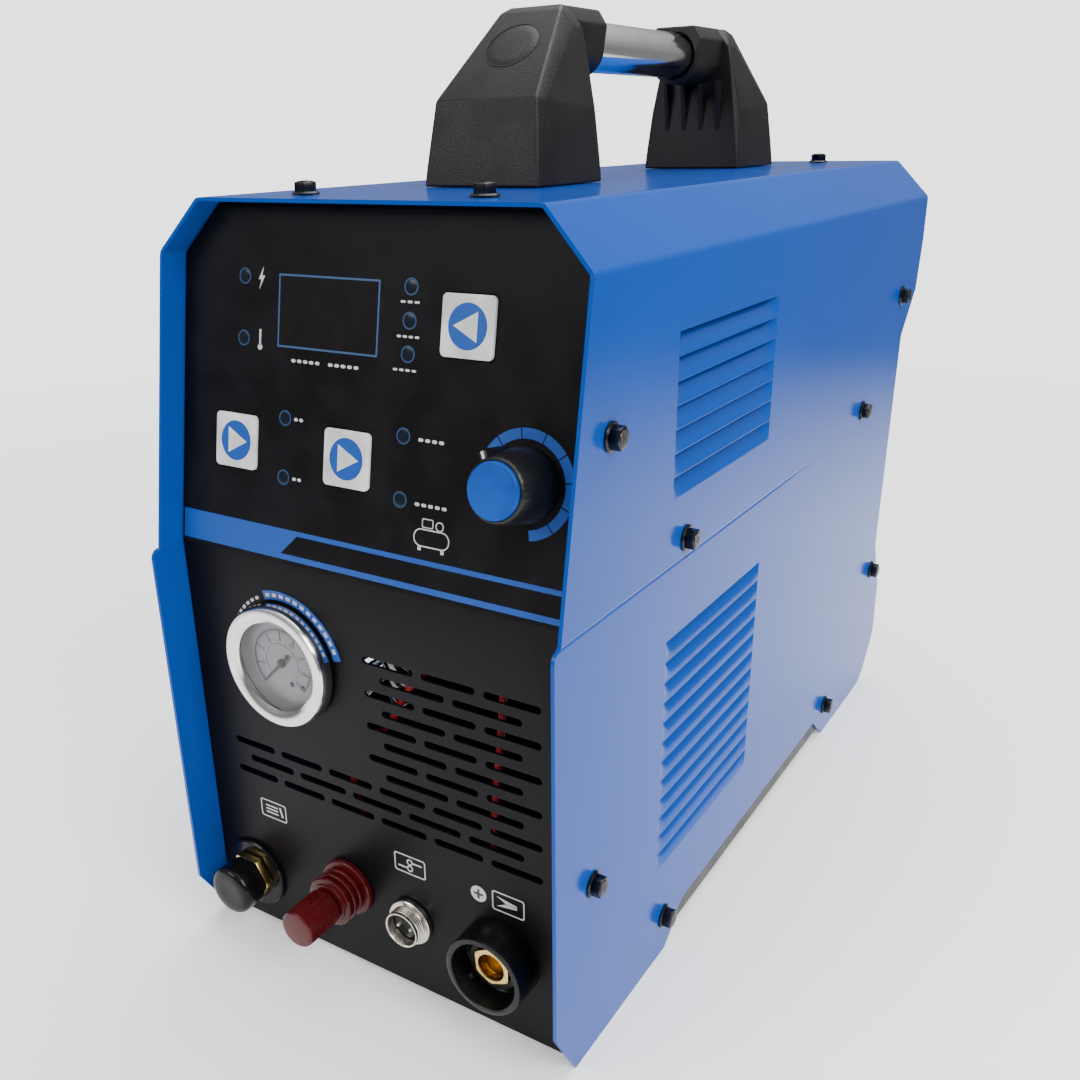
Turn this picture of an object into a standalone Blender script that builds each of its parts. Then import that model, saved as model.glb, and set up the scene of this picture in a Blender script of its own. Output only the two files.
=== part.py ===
"""A portable plasma cutter with its own air compressor, taken apart into its pieces.

Frame: X to the right of someone facing the controls, Y from the front to the back, Z up, metres.
The unit stands on Z = 0, and X = 0, Y = 0 is the middle of the space that it takes up.
The casing's own measures count Y from the front edge of its top, so everything hangs on the
empty casing_front, which is moved forward by half of the unit's length.
"""

import math

import bmesh
import bpy

# ---- Casing ----
CASE_WIDTH = 0.200
CASE_HEIGHT = 0.341
TOP_LENGTH = 0.441
SHEET = 0.0015
FIT = 0.0003
CHAMFER_WIDTH = 0.0205
CHAMFER_HEIGHT = 0.0212
FOLD_HEIGHT = 0.197
HOOD_LEAN = 0.16
LOWER_LEAN = 0.022
NOTCH_STEP = 0.0045
FOOT_CUT_HEIGHT = 0.027
FRONT_FOOT_START = -0.007
FRONT_FOOT_END = 0.080
ARCH_HEIGHT = 0.016
ARCH_SLOPE = 0.020
REAR_FOOT_START = 0.123
REAR_FOOT_END = 0.050
REAR_CORNER = 0.028
WAIST_SETBACK = 0.0325
LOBE_SETBACK = 0.014
LOBE_TOP = 0.066
WAIST_BOTTOM = 0.100
EAR_DROP = 0.103
EAR_CORNER = 0.048
PANEL_RECESS = 0.0128
PANEL_BOTTOM = 0.003
RETURN_DEPTH = 0.022
REAR_PANEL_SETBACK = 0.0355
PAN_HEIGHT = 0.005
PAN_FLANGE = 0.025
DECK_HEIGHT = 0.190
DECK_FLANGE = 0.024
DECK_FRONT = 0.060
DECK_REAR_GAP = 0.085

# ---- Side louvres: distance from the front, height of the lowest, number of slats ----
LOUVRE_START = 0.066
LOUVRE_LENGTH = 0.106
LOUVRE_OPENING = 0.003
UPPER_LOUVRES = 7
UPPER_LOUVRE_DROP = 0.1105
LOWER_LOUVRES = 12
LOWER_LOUVRE_HEIGHT = 0.0555
LOUVRE_PITCH = 0.0095

# ---- Screws ----
SCREW_SHANK = 0.0024
SCREW_HOLE = 0.0030
SCREW_LENGTH = 0.008
SCREW_FLANGE = 0.0056
SCREW_FLANGE_THICKNESS = 0.0012
SCREW_FLATS = 0.0040
SCREW_HEAD = 0.0048
TOP_SCREW_X = 0.042
FRONT_SCREW_Y = {"upper": 0.0105, "lower": 0.0045}
REAR_SCREW_SETBACK = 0.041
TOP_SCREW_Y = 0.023
UPPER_SCREW_DROP = 0.077
LOWER_SCREW_HEIGHT = 0.084
PAN_SCREW_Y = 0.077
PAN_SCREW_REAR = 0.123
PAN_SCREW_HEIGHT = 0.020
DECK_SCREW_Y = 0.081
DECK_SCREW_REAR = 0.105
DECK_SCREW_RISE = 0.0155

# ---- Handle ----
HANDLE_SPAN = 0.274
HANDLE_FOOT_WIDTH = 0.0564
HANDLE_FOOT_LENGTH = 0.056
HANDLE_SHOULDER_WIDTH = 0.049
HANDLE_SHOULDER_HEIGHT = 0.034
HANDLE_SHOULDER_BACK = 0.005
HANDLE_BROW_WIDTH = 0.031
HANDLE_BROW_HEIGHT = 0.0665
HANDLE_BROW_BACK = 0.043
HANDLE_CREST_WIDTH = 0.020
HANDLE_CREST_HEIGHT = 0.0715
HANDLE_CREST_BACK = 0.047
COLLAR_RADIUS = 0.0142
COLLAR_OVERHANG = 0.028
COLLAR_START = 0.030
TUBE_RADIUS = 0.011
TUBE_WALL = 0.0015
TUBE_HEIGHT = 0.0573
TUBE_SEAT = 0.040
PLUG_RADIUS = 0.0122
PLUG_THICKNESS = 0.0022
PLUG_SHARE_UP_SLOPE = 0.64

# ---- Control panel, the upper face: places are shares of the panel's width and height ----
FILM = 0.0006
FILM_MARGIN = 0.002
KEY_SIZE = 0.0225
KEY_THICKNESS = 0.0013
KEY_TRAVEL = 0.0004
KEY_STEM = 0.0030
KEY_PLACES = {"mode_key": (-0.326, 0.335), "source_key": (-0.031, 0.335), "select_key": (0.231, 0.712)}
DISPLAY_WIDTH = 0.0486
DISPLAY_HEIGHT = 0.0266
DISPLAY_PLACE = (-0.097, 0.712)
WINDOW_PROUD = 0.0004
BOARD_GAP = 0.0090
BOARD_THICKNESS = 0.0016
BOARD_LEFT = -0.40
BOARD_RIGHT = 0.295
BOARD_BOTTOM = 0.15
BOARD_TOP = 0.86
SWITCH_CAN = 0.003
SWITCH_CAN_DEPTH = 0.0035
KNOB_PLACE = (0.370, 0.347)
KNOB_SKIRT = 0.0138
KNOB_FACE = 0.0118
KNOB_DEPTH = 0.0215
KNOB_CAP_RADIUS = 0.0102
KNOB_CAP_PROUD = 0.0016
KNOB_CAP_SEAT = 0.0014
KNOB_POINTER_TURN = 30.0
SHAFT_RADIUS = 0.0030
BUSH_RADIUS = 0.0036
BUSH_NUT_FLATS = 0.0055
BUSH_NUT = 0.0024
POT_RADIUS = 0.0085
POT_DEPTH = 0.010

# ---- Air gauge ----
GAUGE_ACROSS = -0.215
GAUGE_DOWN = 0.0462
GAUGE_BEZEL = 0.0279
GAUGE_BEZEL_DEPTH = 0.0085
GAUGE_RIM = 0.0033
GAUGE_BODY = 0.0237
GAUGE_BODY_DEPTH = 0.024
GAUGE_STUB_FLATS = 0.0070
GAUGE_STUB = 0.016
DIAL_THICKNESS = 0.0006
NEEDLE_LENGTH = 0.0160
NEEDLE_TAIL = 0.0060
NEEDLE_WIDTH = 0.0012
NEEDLE_THICKNESS = 0.0005
NEEDLE_HUB = 0.0018
NEEDLE_PIN = 0.0007
NEEDLE_REST_TURN = 135.0
LENS_THICKNESS = 0.0015

# ---- Front vents: rows below the fold, slots filling a span of the panel ----
VENT_DOWN = 0.0344
VENT_PITCH = 0.00765
VENT_ROWS = 11
WIDE_ROWS_FROM = 8
VENT_SLOT = 0.0032
VENT_GAP = 0.004
VENT_RIGHT = 0.422
VENT_RIGHT_SHORT = 0.380
VENT_MIDDLE = 0.0
VENT_LEFT = -0.400

# ---- Front connectors: share of the width, height of the axis above the floor ----
TORCH_ACROSS = -0.380
TORCH_HEIGHT = 0.0285
TORCH_FLANGE = 0.0175
TORCH_FLANGE_THICKNESS = 0.0024
TORCH_HEX_FLATS = 0.0110
TORCH_HEX = 0.0042
TORCH_THREAD = 0.0080
TORCH_REACH = 0.0180
TORCH_NECK = 0.0095
TORCH_TAIL = 0.020
TORCH_BORE = 0.0030
CAP_RADIUS = 0.0120
CAP_FRONT = 0.0205
CAP_WALL = 0.0024
PILOT_ACROSS = -0.0875
PILOT_HEIGHT = 0.0435
PILOT_BASE = 0.0137
PILOT_RIB = 0.0118
PILOT_GROOVE = 0.0096
PILOT_RIBS = 3
PILOT_RIB_PITCH = 0.0038
PILOT_FLANGE = 0.0032
PILOT_NECK = 0.0065
PILOT_TAIL = 0.018
PILOT_STUD = 0.0030
PILOT_KNOB = 0.0086
PILOT_KNOB_LENGTH = 0.019
PILOT_REACH = 0.0360
CONTROL_ACROSS = 0.090
CONTROL_HEIGHT = 0.0395
CONTROL_FLANGE = 0.0108
CONTROL_FLANGE_THICKNESS = 0.0028
CONTROL_BARREL = 0.0087
CONTROL_REACH = 0.0087
CONTROL_WALL = 0.0012
CONTROL_NECK = 0.0078
CONTROL_TAIL = 0.014
CONTROL_PIN = 0.0009
CONTROL_PIN_SPREAD = 0.0033
WORK_ACROSS = 0.320
WORK_HEIGHT = 0.0405
WORK_SHELL = 0.0180
WORK_WALL = 0.0028
WORK_REACH = 0.0150
WORK_CUP_FLOOR = 0.0030
WORK_NECK = 0.0125
WORK_TAIL = 0.012
WORK_INSERT_FLATS = 0.0083
WORK_INSERT_NECK = 0.0078
WORK_INSERT_FRONT = 0.0083
WORK_BORE = 0.00625
WORK_STUD = 0.0050
WORK_STUD_LENGTH = 0.022

# ---- Back ----
FAN_SIZE = 0.120
FAN_DEPTH = 0.025
FAN_BORE = 0.057
FAN_TOP_GAP = 0.020
FAN_HUB = 0.021
FAN_BLADES = 7
FAN_TIP_GAP = 0.0025
FAN_STRUT = 0.004
FAN_PIN = 0.0025
GRILLE_SLOT = 0.005
GRILLE_PITCH = 0.0105
SWITCH_X = 0.052
SWITCH_HEIGHT = 0.112
SWITCH_WIDTH = 0.024
SWITCH_TALL = 0.030
SWITCH_RIM = 0.003
SWITCH_PROUD = 0.002
SWITCH_DEPTH = 0.026
ROCKER_TILT = 12.0
GLAND_X = 0.052
GLAND_HEIGHT = 0.050
GLAND_BORE = 0.0045
GLAND_THREAD = 0.0098
GLAND_FLATS = 0.0120
GLAND_REACH = 0.020
INLET_X = -0.050
INLET_HEIGHT = 0.060
INLET_THREAD = 0.0065
INLET_FLATS = 0.0090
INLET_REACH = 0.026
INLET_BORE = 0.0035

# ---- Compressor and air parts, below the deck ----
MOTOR_RADIUS = 0.037
MOTOR_LENGTH = 0.095
MOTOR_X = 0.020
MOTOR_RISE = 0.060
MOTOR_REAR_GAP = 0.085
MOTOR_FOOT_WIDTH = 0.060
ROTOR_SHAFT = 0.0040
ROTOR_FAN = 0.033
ROTOR_FAN_DEPTH = 0.014
ROTOR_FAN_GAP = 0.004
ROTOR_BLADES = 6
CRANK_RADIUS = 0.016
CRANK_DEPTH = 0.010
PUMP_WIDTH = 0.056
PUMP_DEPTH = 0.046
PUMP_RISE = 0.028
PUMP_FIN = 0.0220
PUMP_FIN_ROOT = 0.0175
PUMP_FINS = 6
PUMP_FIN_PITCH = 0.0085
REGULATOR_X = -0.060
REGULATOR_SETBACK = 0.120
REGULATOR_RADIUS = 0.016
VALVE_X = -0.058
VALVE_Y = 0.050

# ---- Power parts, above the deck ----
SINK_X = -0.028
SINK_WIDTH = 0.080
SINK_FINS = 9
SINK_FIN_THICKNESS = 0.0025
SINK_FIN_HEIGHT = 0.030
SINK_BASE = 0.007
SINK_START = 0.085
SINK_LENGTH = 0.110
BOARD_X = 0.062
BOARD_START = 0.075
BOARD_LENGTH = 0.190
BOARD_RISE = 0.078
CAN_RADIUS = 0.0125
CAN_LENGTH = 0.030
CORE_X = -0.035
CORE_START = 0.215
CORE_WIDTH = 0.056
CORE_LENGTH = 0.044
CORE_HEIGHT = 0.046
WINDING_RADIUS = 0.026
WINDING_HEIGHT = 0.026

SHARP_ANGLE = math.radians(35)
PANEL_REACH = 0.2


# ---- Scene, materials and basic shapes ----
def clear_scene():
    for old in list(bpy.data.objects):
        bpy.data.objects.remove(old)


def finish(name, colour, roughness, metallic=0.0, alpha=1.0):
    made = bpy.data.materials.new(name)
    made.use_nodes = True
    shader = made.node_tree.nodes["Principled BSDF"]
    shader.inputs["Base Color"].default_value = (*colour, 1.0)
    shader.inputs["Roughness"].default_value = roughness
    shader.inputs["Metallic"].default_value = metallic
    shader.inputs["Alpha"].default_value = alpha
    return made


def empty(name, parent, location=(0.0, 0.0, 0.0), rotation=(0.0, 0.0, 0.0)):
    made = bpy.data.objects.new(name, None)
    bpy.context.scene.collection.objects.link(made)
    made.parent = parent
    made.location = location
    made.rotation_euler = rotation
    return made


def block(low, high, mesh=None):
    """A closed block between two corners, added to the mesh."""
    mesh = mesh or bmesh.new()
    made = bmesh.ops.create_cube(mesh, size=1.0)["verts"]
    for vert in made:
        for axis in range(3):
            vert.co[axis] = low[axis] if vert.co[axis] < 0 else high[axis]
    return mesh


def prism(outline, low, high, axis="Y", mesh=None):
    """A closed prism. The outline is (X, Z) along Y, (Y, Z) along X, or (X, Y) along Z."""
    mesh = mesh or bmesh.new()
    lift = {"X": lambda p, a: (a, p[0], p[1]), "Y": lambda p, a: (p[0], a, p[1]), "Z": lambda p, a: (*p, a)}
    ends = [[mesh.verts.new(lift[axis](point, along)) for point in outline] for along in (low, high)]
    for ring in ends:
        mesh.faces.new(ring)
    for index in range(len(outline)):
        after = (index + 1) % len(outline)
        mesh.faces.new((ends[0][index], ends[0][after], ends[1][after], ends[1][index]))
    return mesh


def turned(profile, axis="-Y", steps=32, ring=False, mesh=None):
    """A solid turned about an axis through its origin.

    The profile holds (radius, along) or (radius, along, flats). With flats the stretch is a
    regular bar with that many sides, and the radius is half of its width across flats. A ring
    joins the profile's last point to its first; otherwise the ends are closed by flat faces.
    """
    mesh = mesh or bmesh.new()
    lift = {
        "X": lambda c, s, a: (a, c, s),
        "-X": lambda c, s, a: (-a, c, s),
        "Y": lambda c, s, a: (c, a, s),
        "-Y": lambda c, s, a: (c, -a, s),
        "Z": lambda c, s, a: (c, s, a),
    }[axis]
    rows = []
    for radius, along, *flats in profile:
        if radius == 0.0:
            rows.append([mesh.verts.new(lift(0.0, 0.0, along))])
            continue
        row = []
        for step in range(steps):
            angle = math.tau * step / steps
            reach = radius
            if flats:
                side = math.tau / flats[0]
                reach = radius / math.cos(angle % side - side / 2)
            row.append(mesh.verts.new(lift(reach * math.cos(angle), reach * math.sin(angle), along)))
        rows.append(row)
    pairs = list(zip(rows, rows[1:]))
    if ring:
        pairs.append((rows[-1], rows[0]))
    for near, far in pairs:
        for step in range(steps):
            after = (step + 1) % steps
            corners = [near[step % len(near)], near[after % len(near)]]
            corners += [far[after % len(far)], far[step % len(far)]]
            corners = list(dict.fromkeys(corners))
            if len(corners) > 2:
                mesh.faces.new(corners)
    if not ring:
        for row in (rows[0], rows[-1]):
            if len(row) > 1:
                mesh.faces.new(row)
    return mesh


def solid(name, mesh, surface, parent, location=(0.0, 0.0, 0.0), rotation=(0.0, 0.0, 0.0)):
    """Wraps a mesh as a named piece, faces out, smooth but for its sharp edges."""
    bmesh.ops.remove_doubles(mesh, verts=mesh.verts, dist=1e-7)
    bmesh.ops.recalc_face_normals(mesh, faces=mesh.faces)
    data = bpy.data.meshes.new(name)
    mesh.to_mesh(data)
    mesh.free()
    if surface:
        data.materials.append(surface)
    data.shade_smooth()
    data.set_sharp_from_angle(angle=SHARP_ANGLE)
    made = bpy.data.objects.new(name, data)
    bpy.context.scene.collection.objects.link(made)
    made.parent = parent
    made.location = location
    made.rotation_euler = rotation
    return made


def tool(mesh, parent, location=(0.0, 0.0, 0.0), rotation=(0.0, 0.0, 0.0)):
    """A hidden shape that another piece is cut by or joined with."""
    made = solid("shaping_tool", mesh, None, parent, location, rotation)
    made.hide_render = True
    made.display_type = "WIRE"
    return made


def shape(piece, operation, *tools):
    for other in tools:
        modifier = piece.modifiers.new(operation.lower(), "BOOLEAN")
        modifier.operation = operation
        modifier.solver = "EXACT"
        modifier.object = other


def cut(piece, *tools):
    shape(piece, "DIFFERENCE", *tools)


def join(piece, *tools):
    shape(piece, "UNION", *tools)


def keep(piece, *tools):
    shape(piece, "INTERSECT", *tools)


def arc(centre, radius, start, end, steps):
    """Points on an arc, with both angles in degrees."""
    turns = [math.radians(start + (end - start) * step / steps) for step in range(steps + 1)]
    return [(centre[0] + radius * math.cos(turn), centre[1] + radius * math.sin(turn)) for turn in turns]


# ---- Places that several pieces share ----
def casing_section(inset, bottom):
    """The chamfered front view of the casing as (X, Z) points, moved inwards by the inset."""
    slant = math.hypot(CHAMFER_WIDTH, CHAMFER_HEIGHT)
    side = CASE_WIDTH / 2 - inset
    top = CASE_HEIGHT - inset
    top_side = CASE_WIDTH / 2 - CHAMFER_WIDTH - inset * (slant - CHAMFER_WIDTH) / CHAMFER_HEIGHT
    shoulder = CASE_HEIGHT - CHAMFER_HEIGHT - inset * (slant - CHAMFER_HEIGHT) / CHAMFER_WIDTH
    return [
        (-side, bottom),
        (-side, shoulder),
        (-top_side, top),
        (top_side, top),
        (side, shoulder),
        (side, bottom),
    ]


def panel_y(height):
    """Y of the front panel's face at a height."""
    if height >= FOLD_HEIGHT:
        return PANEL_RECESS - HOOD_LEAN * (CASE_HEIGHT - height)
    return panel_y(FOLD_HEIGHT) + LOWER_LEAN * (FOLD_HEIGHT - height)


def panel_band(near, far):
    """(Y, Z) outline of a layer that follows the front panel between two depths behind its face."""
    heights = (-PANEL_REACH, FOLD_HEIGHT, CASE_HEIGHT + PANEL_REACH)
    front = [(panel_y(height) + near, height) for height in heights]
    back = [(panel_y(height) + far, height) for height in heights]
    return front + back[::-1]


def inner_half():
    """Half of the width inside the cover, less the clearance."""
    return CASE_WIDTH / 2 - SHEET - FIT


def rear_panel_y():
    return TOP_LENGTH - REAR_PANEL_SETBACK


def inside_back():
    return rear_panel_y() - SHEET - FIT


def upper_face_height():
    """Length of the leaning control face from the fold to the top of the front panel."""
    return (CASE_HEIGHT - SHEET - FIT - FOLD_HEIGHT) * math.hypot(1.0, HOOD_LEAN)


def across(share):
    """X of a place given as a share of the casing's width."""
    return share * CASE_WIDTH


def up_face(share):
    return share * upper_face_height()


def drop(height):
    """Distance below the fold, along the lower face, of a height above the floor."""
    return (FOLD_HEIGHT - height) * math.hypot(1.0, LOWER_LEAN)


def unit_middle():
    """Y of the middle of the whole unit, from the pilot post's knob to the back of the cover."""
    tilt = math.atan(LOWER_LEAN)
    face = panel_y(PILOT_HEIGHT)
    front = face - PILOT_REACH * math.cos(tilt) - PILOT_KNOB * math.sin(tilt)
    return (front + TOP_LENGTH) / 2


# ---- Casing ----
def side_outline():
    """The cover seen from the side, as (Y, Z) points from the top front corner, down and round."""
    fold_y = -HOOD_LEAN * (CASE_HEIGHT - FOLD_HEIGHT)
    lower_y = fold_y - NOTCH_STEP
    cut_y = lower_y + LOWER_LEAN * (FOLD_HEIGHT - FOOT_CUT_HEIGHT)
    waist = TOP_LENGTH - WAIST_SETBACK
    lobe = TOP_LENGTH - LOBE_SETBACK
    foot_end = TOP_LENGTH - REAR_FOOT_END
    front = [(0.0, CASE_HEIGHT), (fold_y, FOLD_HEIGHT + FIT)]
    front += arc((fold_y, FOLD_HEIGHT - NOTCH_STEP), NOTCH_STEP, 90, 180, 3)
    front += [(cut_y, FOOT_CUT_HEIGHT), (FRONT_FOOT_START, 0.0), (FRONT_FOOT_END, 0.0)]
    front += arc((FRONT_FOOT_END + ARCH_SLOPE + 0.004, 0.0), ARCH_HEIGHT, 150, 90, 3)
    rear_start = TOP_LENGTH - REAR_FOOT_START
    rear = [(rear_start - ARCH_SLOPE, ARCH_HEIGHT), (rear_start, 0.0)]
    rear += arc((foot_end, REAR_CORNER), REAR_CORNER, -90, -45, 3)
    rear += [(lobe, REAR_CORNER), (lobe - 0.002, LOBE_TOP)]
    rear += [((lobe + waist) / 2 - 0.003, (LOBE_TOP + WAIST_BOTTOM) / 2), (waist - 0.002, WAIST_BOTTOM)]
    rear += [(waist + 0.003, CASE_HEIGHT - EAR_DROP), (TOP_LENGTH - 0.005, CASE_HEIGHT - EAR_DROP + 0.026)]
    rear += [(TOP_LENGTH, CASE_HEIGHT - EAR_CORNER), (TOP_LENGTH, CASE_HEIGHT)]
    return front + rear


def louvre_heights():
    upper = [CASE_HEIGHT - UPPER_LOUVRE_DROP + LOUVRE_PITCH * index for index in range(UPPER_LOUVRES)]
    lower = [LOWER_LOUVRE_HEIGHT + LOUVRE_PITCH * index for index in range(LOWER_LOUVRES)]
    return lower + upper


def side_screw_places():
    """(Y, Z) of the four corner screws of one side."""
    rear = TOP_LENGTH - REAR_SCREW_SETBACK
    heights = {"upper": CASE_HEIGHT - UPPER_SCREW_DROP, "lower": LOWER_SCREW_HEIGHT}
    places = {}
    for level, height in heights.items():
        places[f"front_{level}"] = (FRONT_SCREW_Y[level], height)
        places[f"rear_{level}"] = (rear, height)
    return places


def middle_screw_places():
    """(Y, Z) of the two deck screws and the two pan screws of one side, which have holes only."""
    deck = DECK_HEIGHT + DECK_SCREW_RISE
    return [
        (DECK_SCREW_Y, deck),
        (TOP_LENGTH - DECK_SCREW_REAR, deck),
        (PAN_SCREW_Y, PAN_SCREW_HEIGHT),
        (TOP_LENGTH - PAN_SCREW_REAR, PAN_SCREW_HEIGHT),
    ]


def top_screw_places():
    rear = TOP_LENGTH - REAR_SCREW_SETBACK
    return {
        f"{end}_{side}": (sign * TOP_SCREW_X, along)
        for end, along in (("front", TOP_SCREW_Y), ("rear", rear))
        for side, sign in (("left", -1), ("right", 1))
    }


def side_drill(parent, places):
    """One hidden bar through both sides for each place."""
    mesh = bmesh.new()
    for along, height in places:
        bar = turned([(SCREW_HOLE, -CASE_WIDTH), (SCREW_HOLE, CASE_WIDTH)], "X", 10)
        bmesh.ops.translate(bar, verts=bar.verts, vec=(0.0, along, height))
        mesh = merged(mesh, bar)
    return tool(mesh, parent)


def merged(mesh, other):
    """The first mesh with the second, separate from it, added."""
    data = bpy.data.meshes.new("merge")
    other.to_mesh(data)
    other.free()
    mesh.from_mesh(data)
    bpy.data.meshes.remove(data)
    return mesh


def top_drill(parent):
    mesh = bmesh.new()
    for place in top_screw_places().values():
        bar = turned([(SCREW_HOLE, CASE_HEIGHT - 0.01), (SCREW_HOLE, CASE_HEIGHT + 0.01)], "Z", 10)
        bmesh.ops.translate(bar, verts=bar.verts, vec=(*place, 0.0))
        mesh = merged(mesh, bar)
    return tool(mesh, parent)


def build_cover(parent, surface):
    outer = casing_section(0.0, -PANEL_REACH)
    inner = casing_section(SHEET, -PANEL_REACH)
    sheet = prism(outer + inner[::-1], -PANEL_REACH, TOP_LENGTH + PANEL_REACH)
    cover = solid("case_cover", sheet, surface, parent)
    keep(cover, tool(prism(side_outline(), -CASE_WIDTH, CASE_WIDTH, "X"), parent))
    slots = bmesh.new()
    for height in louvre_heights():
        low = (-CASE_WIDTH, LOUVRE_START, height)
        block(low, (CASE_WIDTH, LOUVRE_START + LOUVRE_LENGTH, height + LOUVRE_OPENING), slots)
    places = list(side_screw_places().values()) + middle_screw_places()
    cut(cover, tool(slots, parent), side_drill(parent, places), top_drill(parent))


def build_pan(parent, surface):
    half = inner_half()
    narrow = half - SHEET - FIT
    front = panel_y(0.0) + SHEET + FIT
    flange_front = panel_y(PAN_FLANGE + PAN_HEIGHT) + RETURN_DEPTH + 2 * FIT
    flange_rear = rear_panel_y() - RETURN_DEPTH - 2 * FIT
    left = [(-narrow, front), (-narrow, flange_front), (-half, flange_front), (-half, flange_rear)]
    left += [(-narrow, flange_rear), (-narrow, inside_back())]
    right = [(-x, y) for x, y in left[::-1]]
    pan = solid("base_pan", prism(left + right, PAN_HEIGHT, PAN_HEIGHT + SHEET, "Z"), surface, parent)
    flanges = bmesh.new()
    for sign in (-1, 1):
        near, far = sorted((sign * half, sign * (half - SHEET)))
        block((near, flange_front, PAN_HEIGHT), (far, flange_rear, PAN_HEIGHT + PAN_FLANGE), flanges)
    join(pan, tool(flanges, parent))
    cut(pan, side_drill(parent, middle_screw_places()[2:]))


def build_deck(parent, surface):
    half = inner_half()
    top = DECK_HEIGHT + DECK_FLANGE
    left = [(-half, DECK_HEIGHT), (-half, top), (-half + SHEET, top), (-half + SHEET, DECK_HEIGHT + SHEET)]
    section = left + [(-x, z) for x, z in left[::-1]]
    deck = solid("deck_plate", prism(section, DECK_FRONT, TOP_LENGTH - DECK_REAR_GAP), surface, parent)
    cut(deck, side_drill(parent, middle_screw_places()[:2]))


def build_screws(parent, surface):
    """The screws that are pieces of their own: four on the top, and the corner ones of both sides."""
    profile = [
        (0.0, -SCREW_LENGTH),
        (SCREW_SHANK, -SCREW_LENGTH),
        (SCREW_SHANK, FIT),
        (SCREW_FLANGE, FIT),
        (SCREW_FLANGE, FIT + SCREW_FLANGE_THICKNESS * 0.6),
        (SCREW_FLATS * 1.12, FIT + SCREW_FLANGE_THICKNESS),
        (SCREW_FLATS, FIT + SCREW_FLANGE_THICKNESS, 6),
        (SCREW_FLATS, SCREW_HEAD, 6),
        (SCREW_FLATS * 0.8, SCREW_HEAD + SCREW_FLANGE_THICKNESS / 2),
        (0.0, SCREW_HEAD + SCREW_FLANGE_THICKNESS / 2),
    ]
    for name, place in top_screw_places().items():
        solid(f"top_screw_{name}", turned(profile, "Z", 12), surface, parent, (*place, CASE_HEIGHT))
    for side, sign, axis in (("left", -1, "-X"), ("right", 1, "X")):
        for name, place in side_screw_places().items():
            made = turned(profile, axis, 12)
            solid(f"{side}_screw_{name}", made, surface, parent, (sign * CASE_WIDTH / 2, *place))


# ---- Handle ----
def support_mesh():
    """A handle support standing on Z = 0 with its outer foot edge at Y = 0, closing in upwards."""
    mesh = bmesh.new()
    corners = []
    for sign in (-1, 1):
        foot = sign * HANDLE_FOOT_WIDTH / 2
        shoulder = sign * HANDLE_SHOULDER_WIDTH / 2
        brow = sign * HANDLE_BROW_WIDTH / 2
        crest = sign * HANDLE_CREST_WIDTH / 2
        back = HANDLE_FOOT_LENGTH
        corners += [(foot, 0.0, 0.0), (foot, back, 0.0)]
        corners += [(shoulder, HANDLE_SHOULDER_BACK, HANDLE_SHOULDER_HEIGHT)]
        corners += [(shoulder, back, HANDLE_SHOULDER_HEIGHT)]
        corners += [(brow, HANDLE_BROW_BACK, HANDLE_BROW_HEIGHT), (brow, back, HANDLE_BROW_HEIGHT)]
        corners += [(crest, HANDLE_CREST_BACK, HANDLE_CREST_HEIGHT), (crest, back, HANDLE_CREST_HEIGHT)]
    for corner in corners:
        mesh.verts.new(corner)
    bmesh.ops.convex_hull(mesh, input=mesh.verts)
    return mesh


def slope_frame():
    """Middle of the plug on the support's sloping face, and the slope's angle from level."""
    rise = HANDLE_BROW_HEIGHT - HANDLE_SHOULDER_HEIGHT
    run = HANDLE_BROW_BACK - HANDLE_SHOULDER_BACK
    middle = (
        0.0,
        HANDLE_SHOULDER_BACK + run * PLUG_SHARE_UP_SLOPE,
        HANDLE_SHOULDER_HEIGHT + rise * PLUG_SHARE_UP_SLOPE,
    )
    return middle, math.atan2(rise, run)


def build_handle(parent, plastic, metal):
    middle = TOP_LENGTH / 2
    foot = CASE_HEIGHT + FIT
    collar_end = HANDLE_FOOT_LENGTH + COLLAR_OVERHANG
    plug_middle, slope = slope_frame()
    for end, sign, turn in (("front", -1, 0.0), ("rear", 1, math.pi)):
        frame = empty(f"handle_{end}", parent, (0.0, middle + sign * HANDLE_SPAN / 2, foot), (0.0, 0.0, turn))
        support = solid(f"handle_{end}_support", support_mesh(), plastic, frame)
        collar = [(0.0, COLLAR_START), (COLLAR_RADIUS, COLLAR_START)]
        collar += [(COLLAR_RADIUS, collar_end), (0.0, collar_end)]
        join(support, tool(turned(collar, "Y", 28), frame, (0.0, 0.0, TUBE_HEIGHT)))
        seat = turned([(TUBE_RADIUS + FIT, TUBE_SEAT), (TUBE_RADIUS + FIT, collar_end + 0.01)], "Y", 28)
        pocket = turned([(PLUG_RADIUS + FIT, -PLUG_THICKNESS - FIT), (PLUG_RADIUS + FIT, 0.01)], "Z", 24)
        cut(support, tool(seat, frame, (0.0, 0.0, TUBE_HEIGHT)))
        cut(support, tool(pocket, frame, plug_middle, (slope, 0.0, 0.0)))
        plug = [(0.0, -PLUG_THICKNESS), (PLUG_RADIUS, -PLUG_THICKNESS), (PLUG_RADIUS, 0.0), (0.0, 0.0003)]
        solid(f"handle_{end}_plug", turned(plug, "Z", 24), plastic, frame, plug_middle, (slope, 0.0, 0.0))
    reach = HANDLE_SPAN / 2 - TUBE_SEAT - FIT
    inner = TUBE_RADIUS - TUBE_WALL
    tube = [(TUBE_RADIUS, -reach), (TUBE_RADIUS, reach), (inner, reach), (inner, -reach)]
    solid("handle_tube", turned(tube, "Y", 28, ring=True), metal, parent, (0.0, middle, foot + TUBE_HEIGHT))


# ---- Front panel and controls ----
def slot_outline(start, end, level, width):
    """(X, Z) outline of a slot with round ends."""
    radius = width / 2
    right = arc((end - radius, level), radius, -90, 90, 2)
    return right + arc((start + radius, level), radius, 90, 270, 2)


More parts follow.
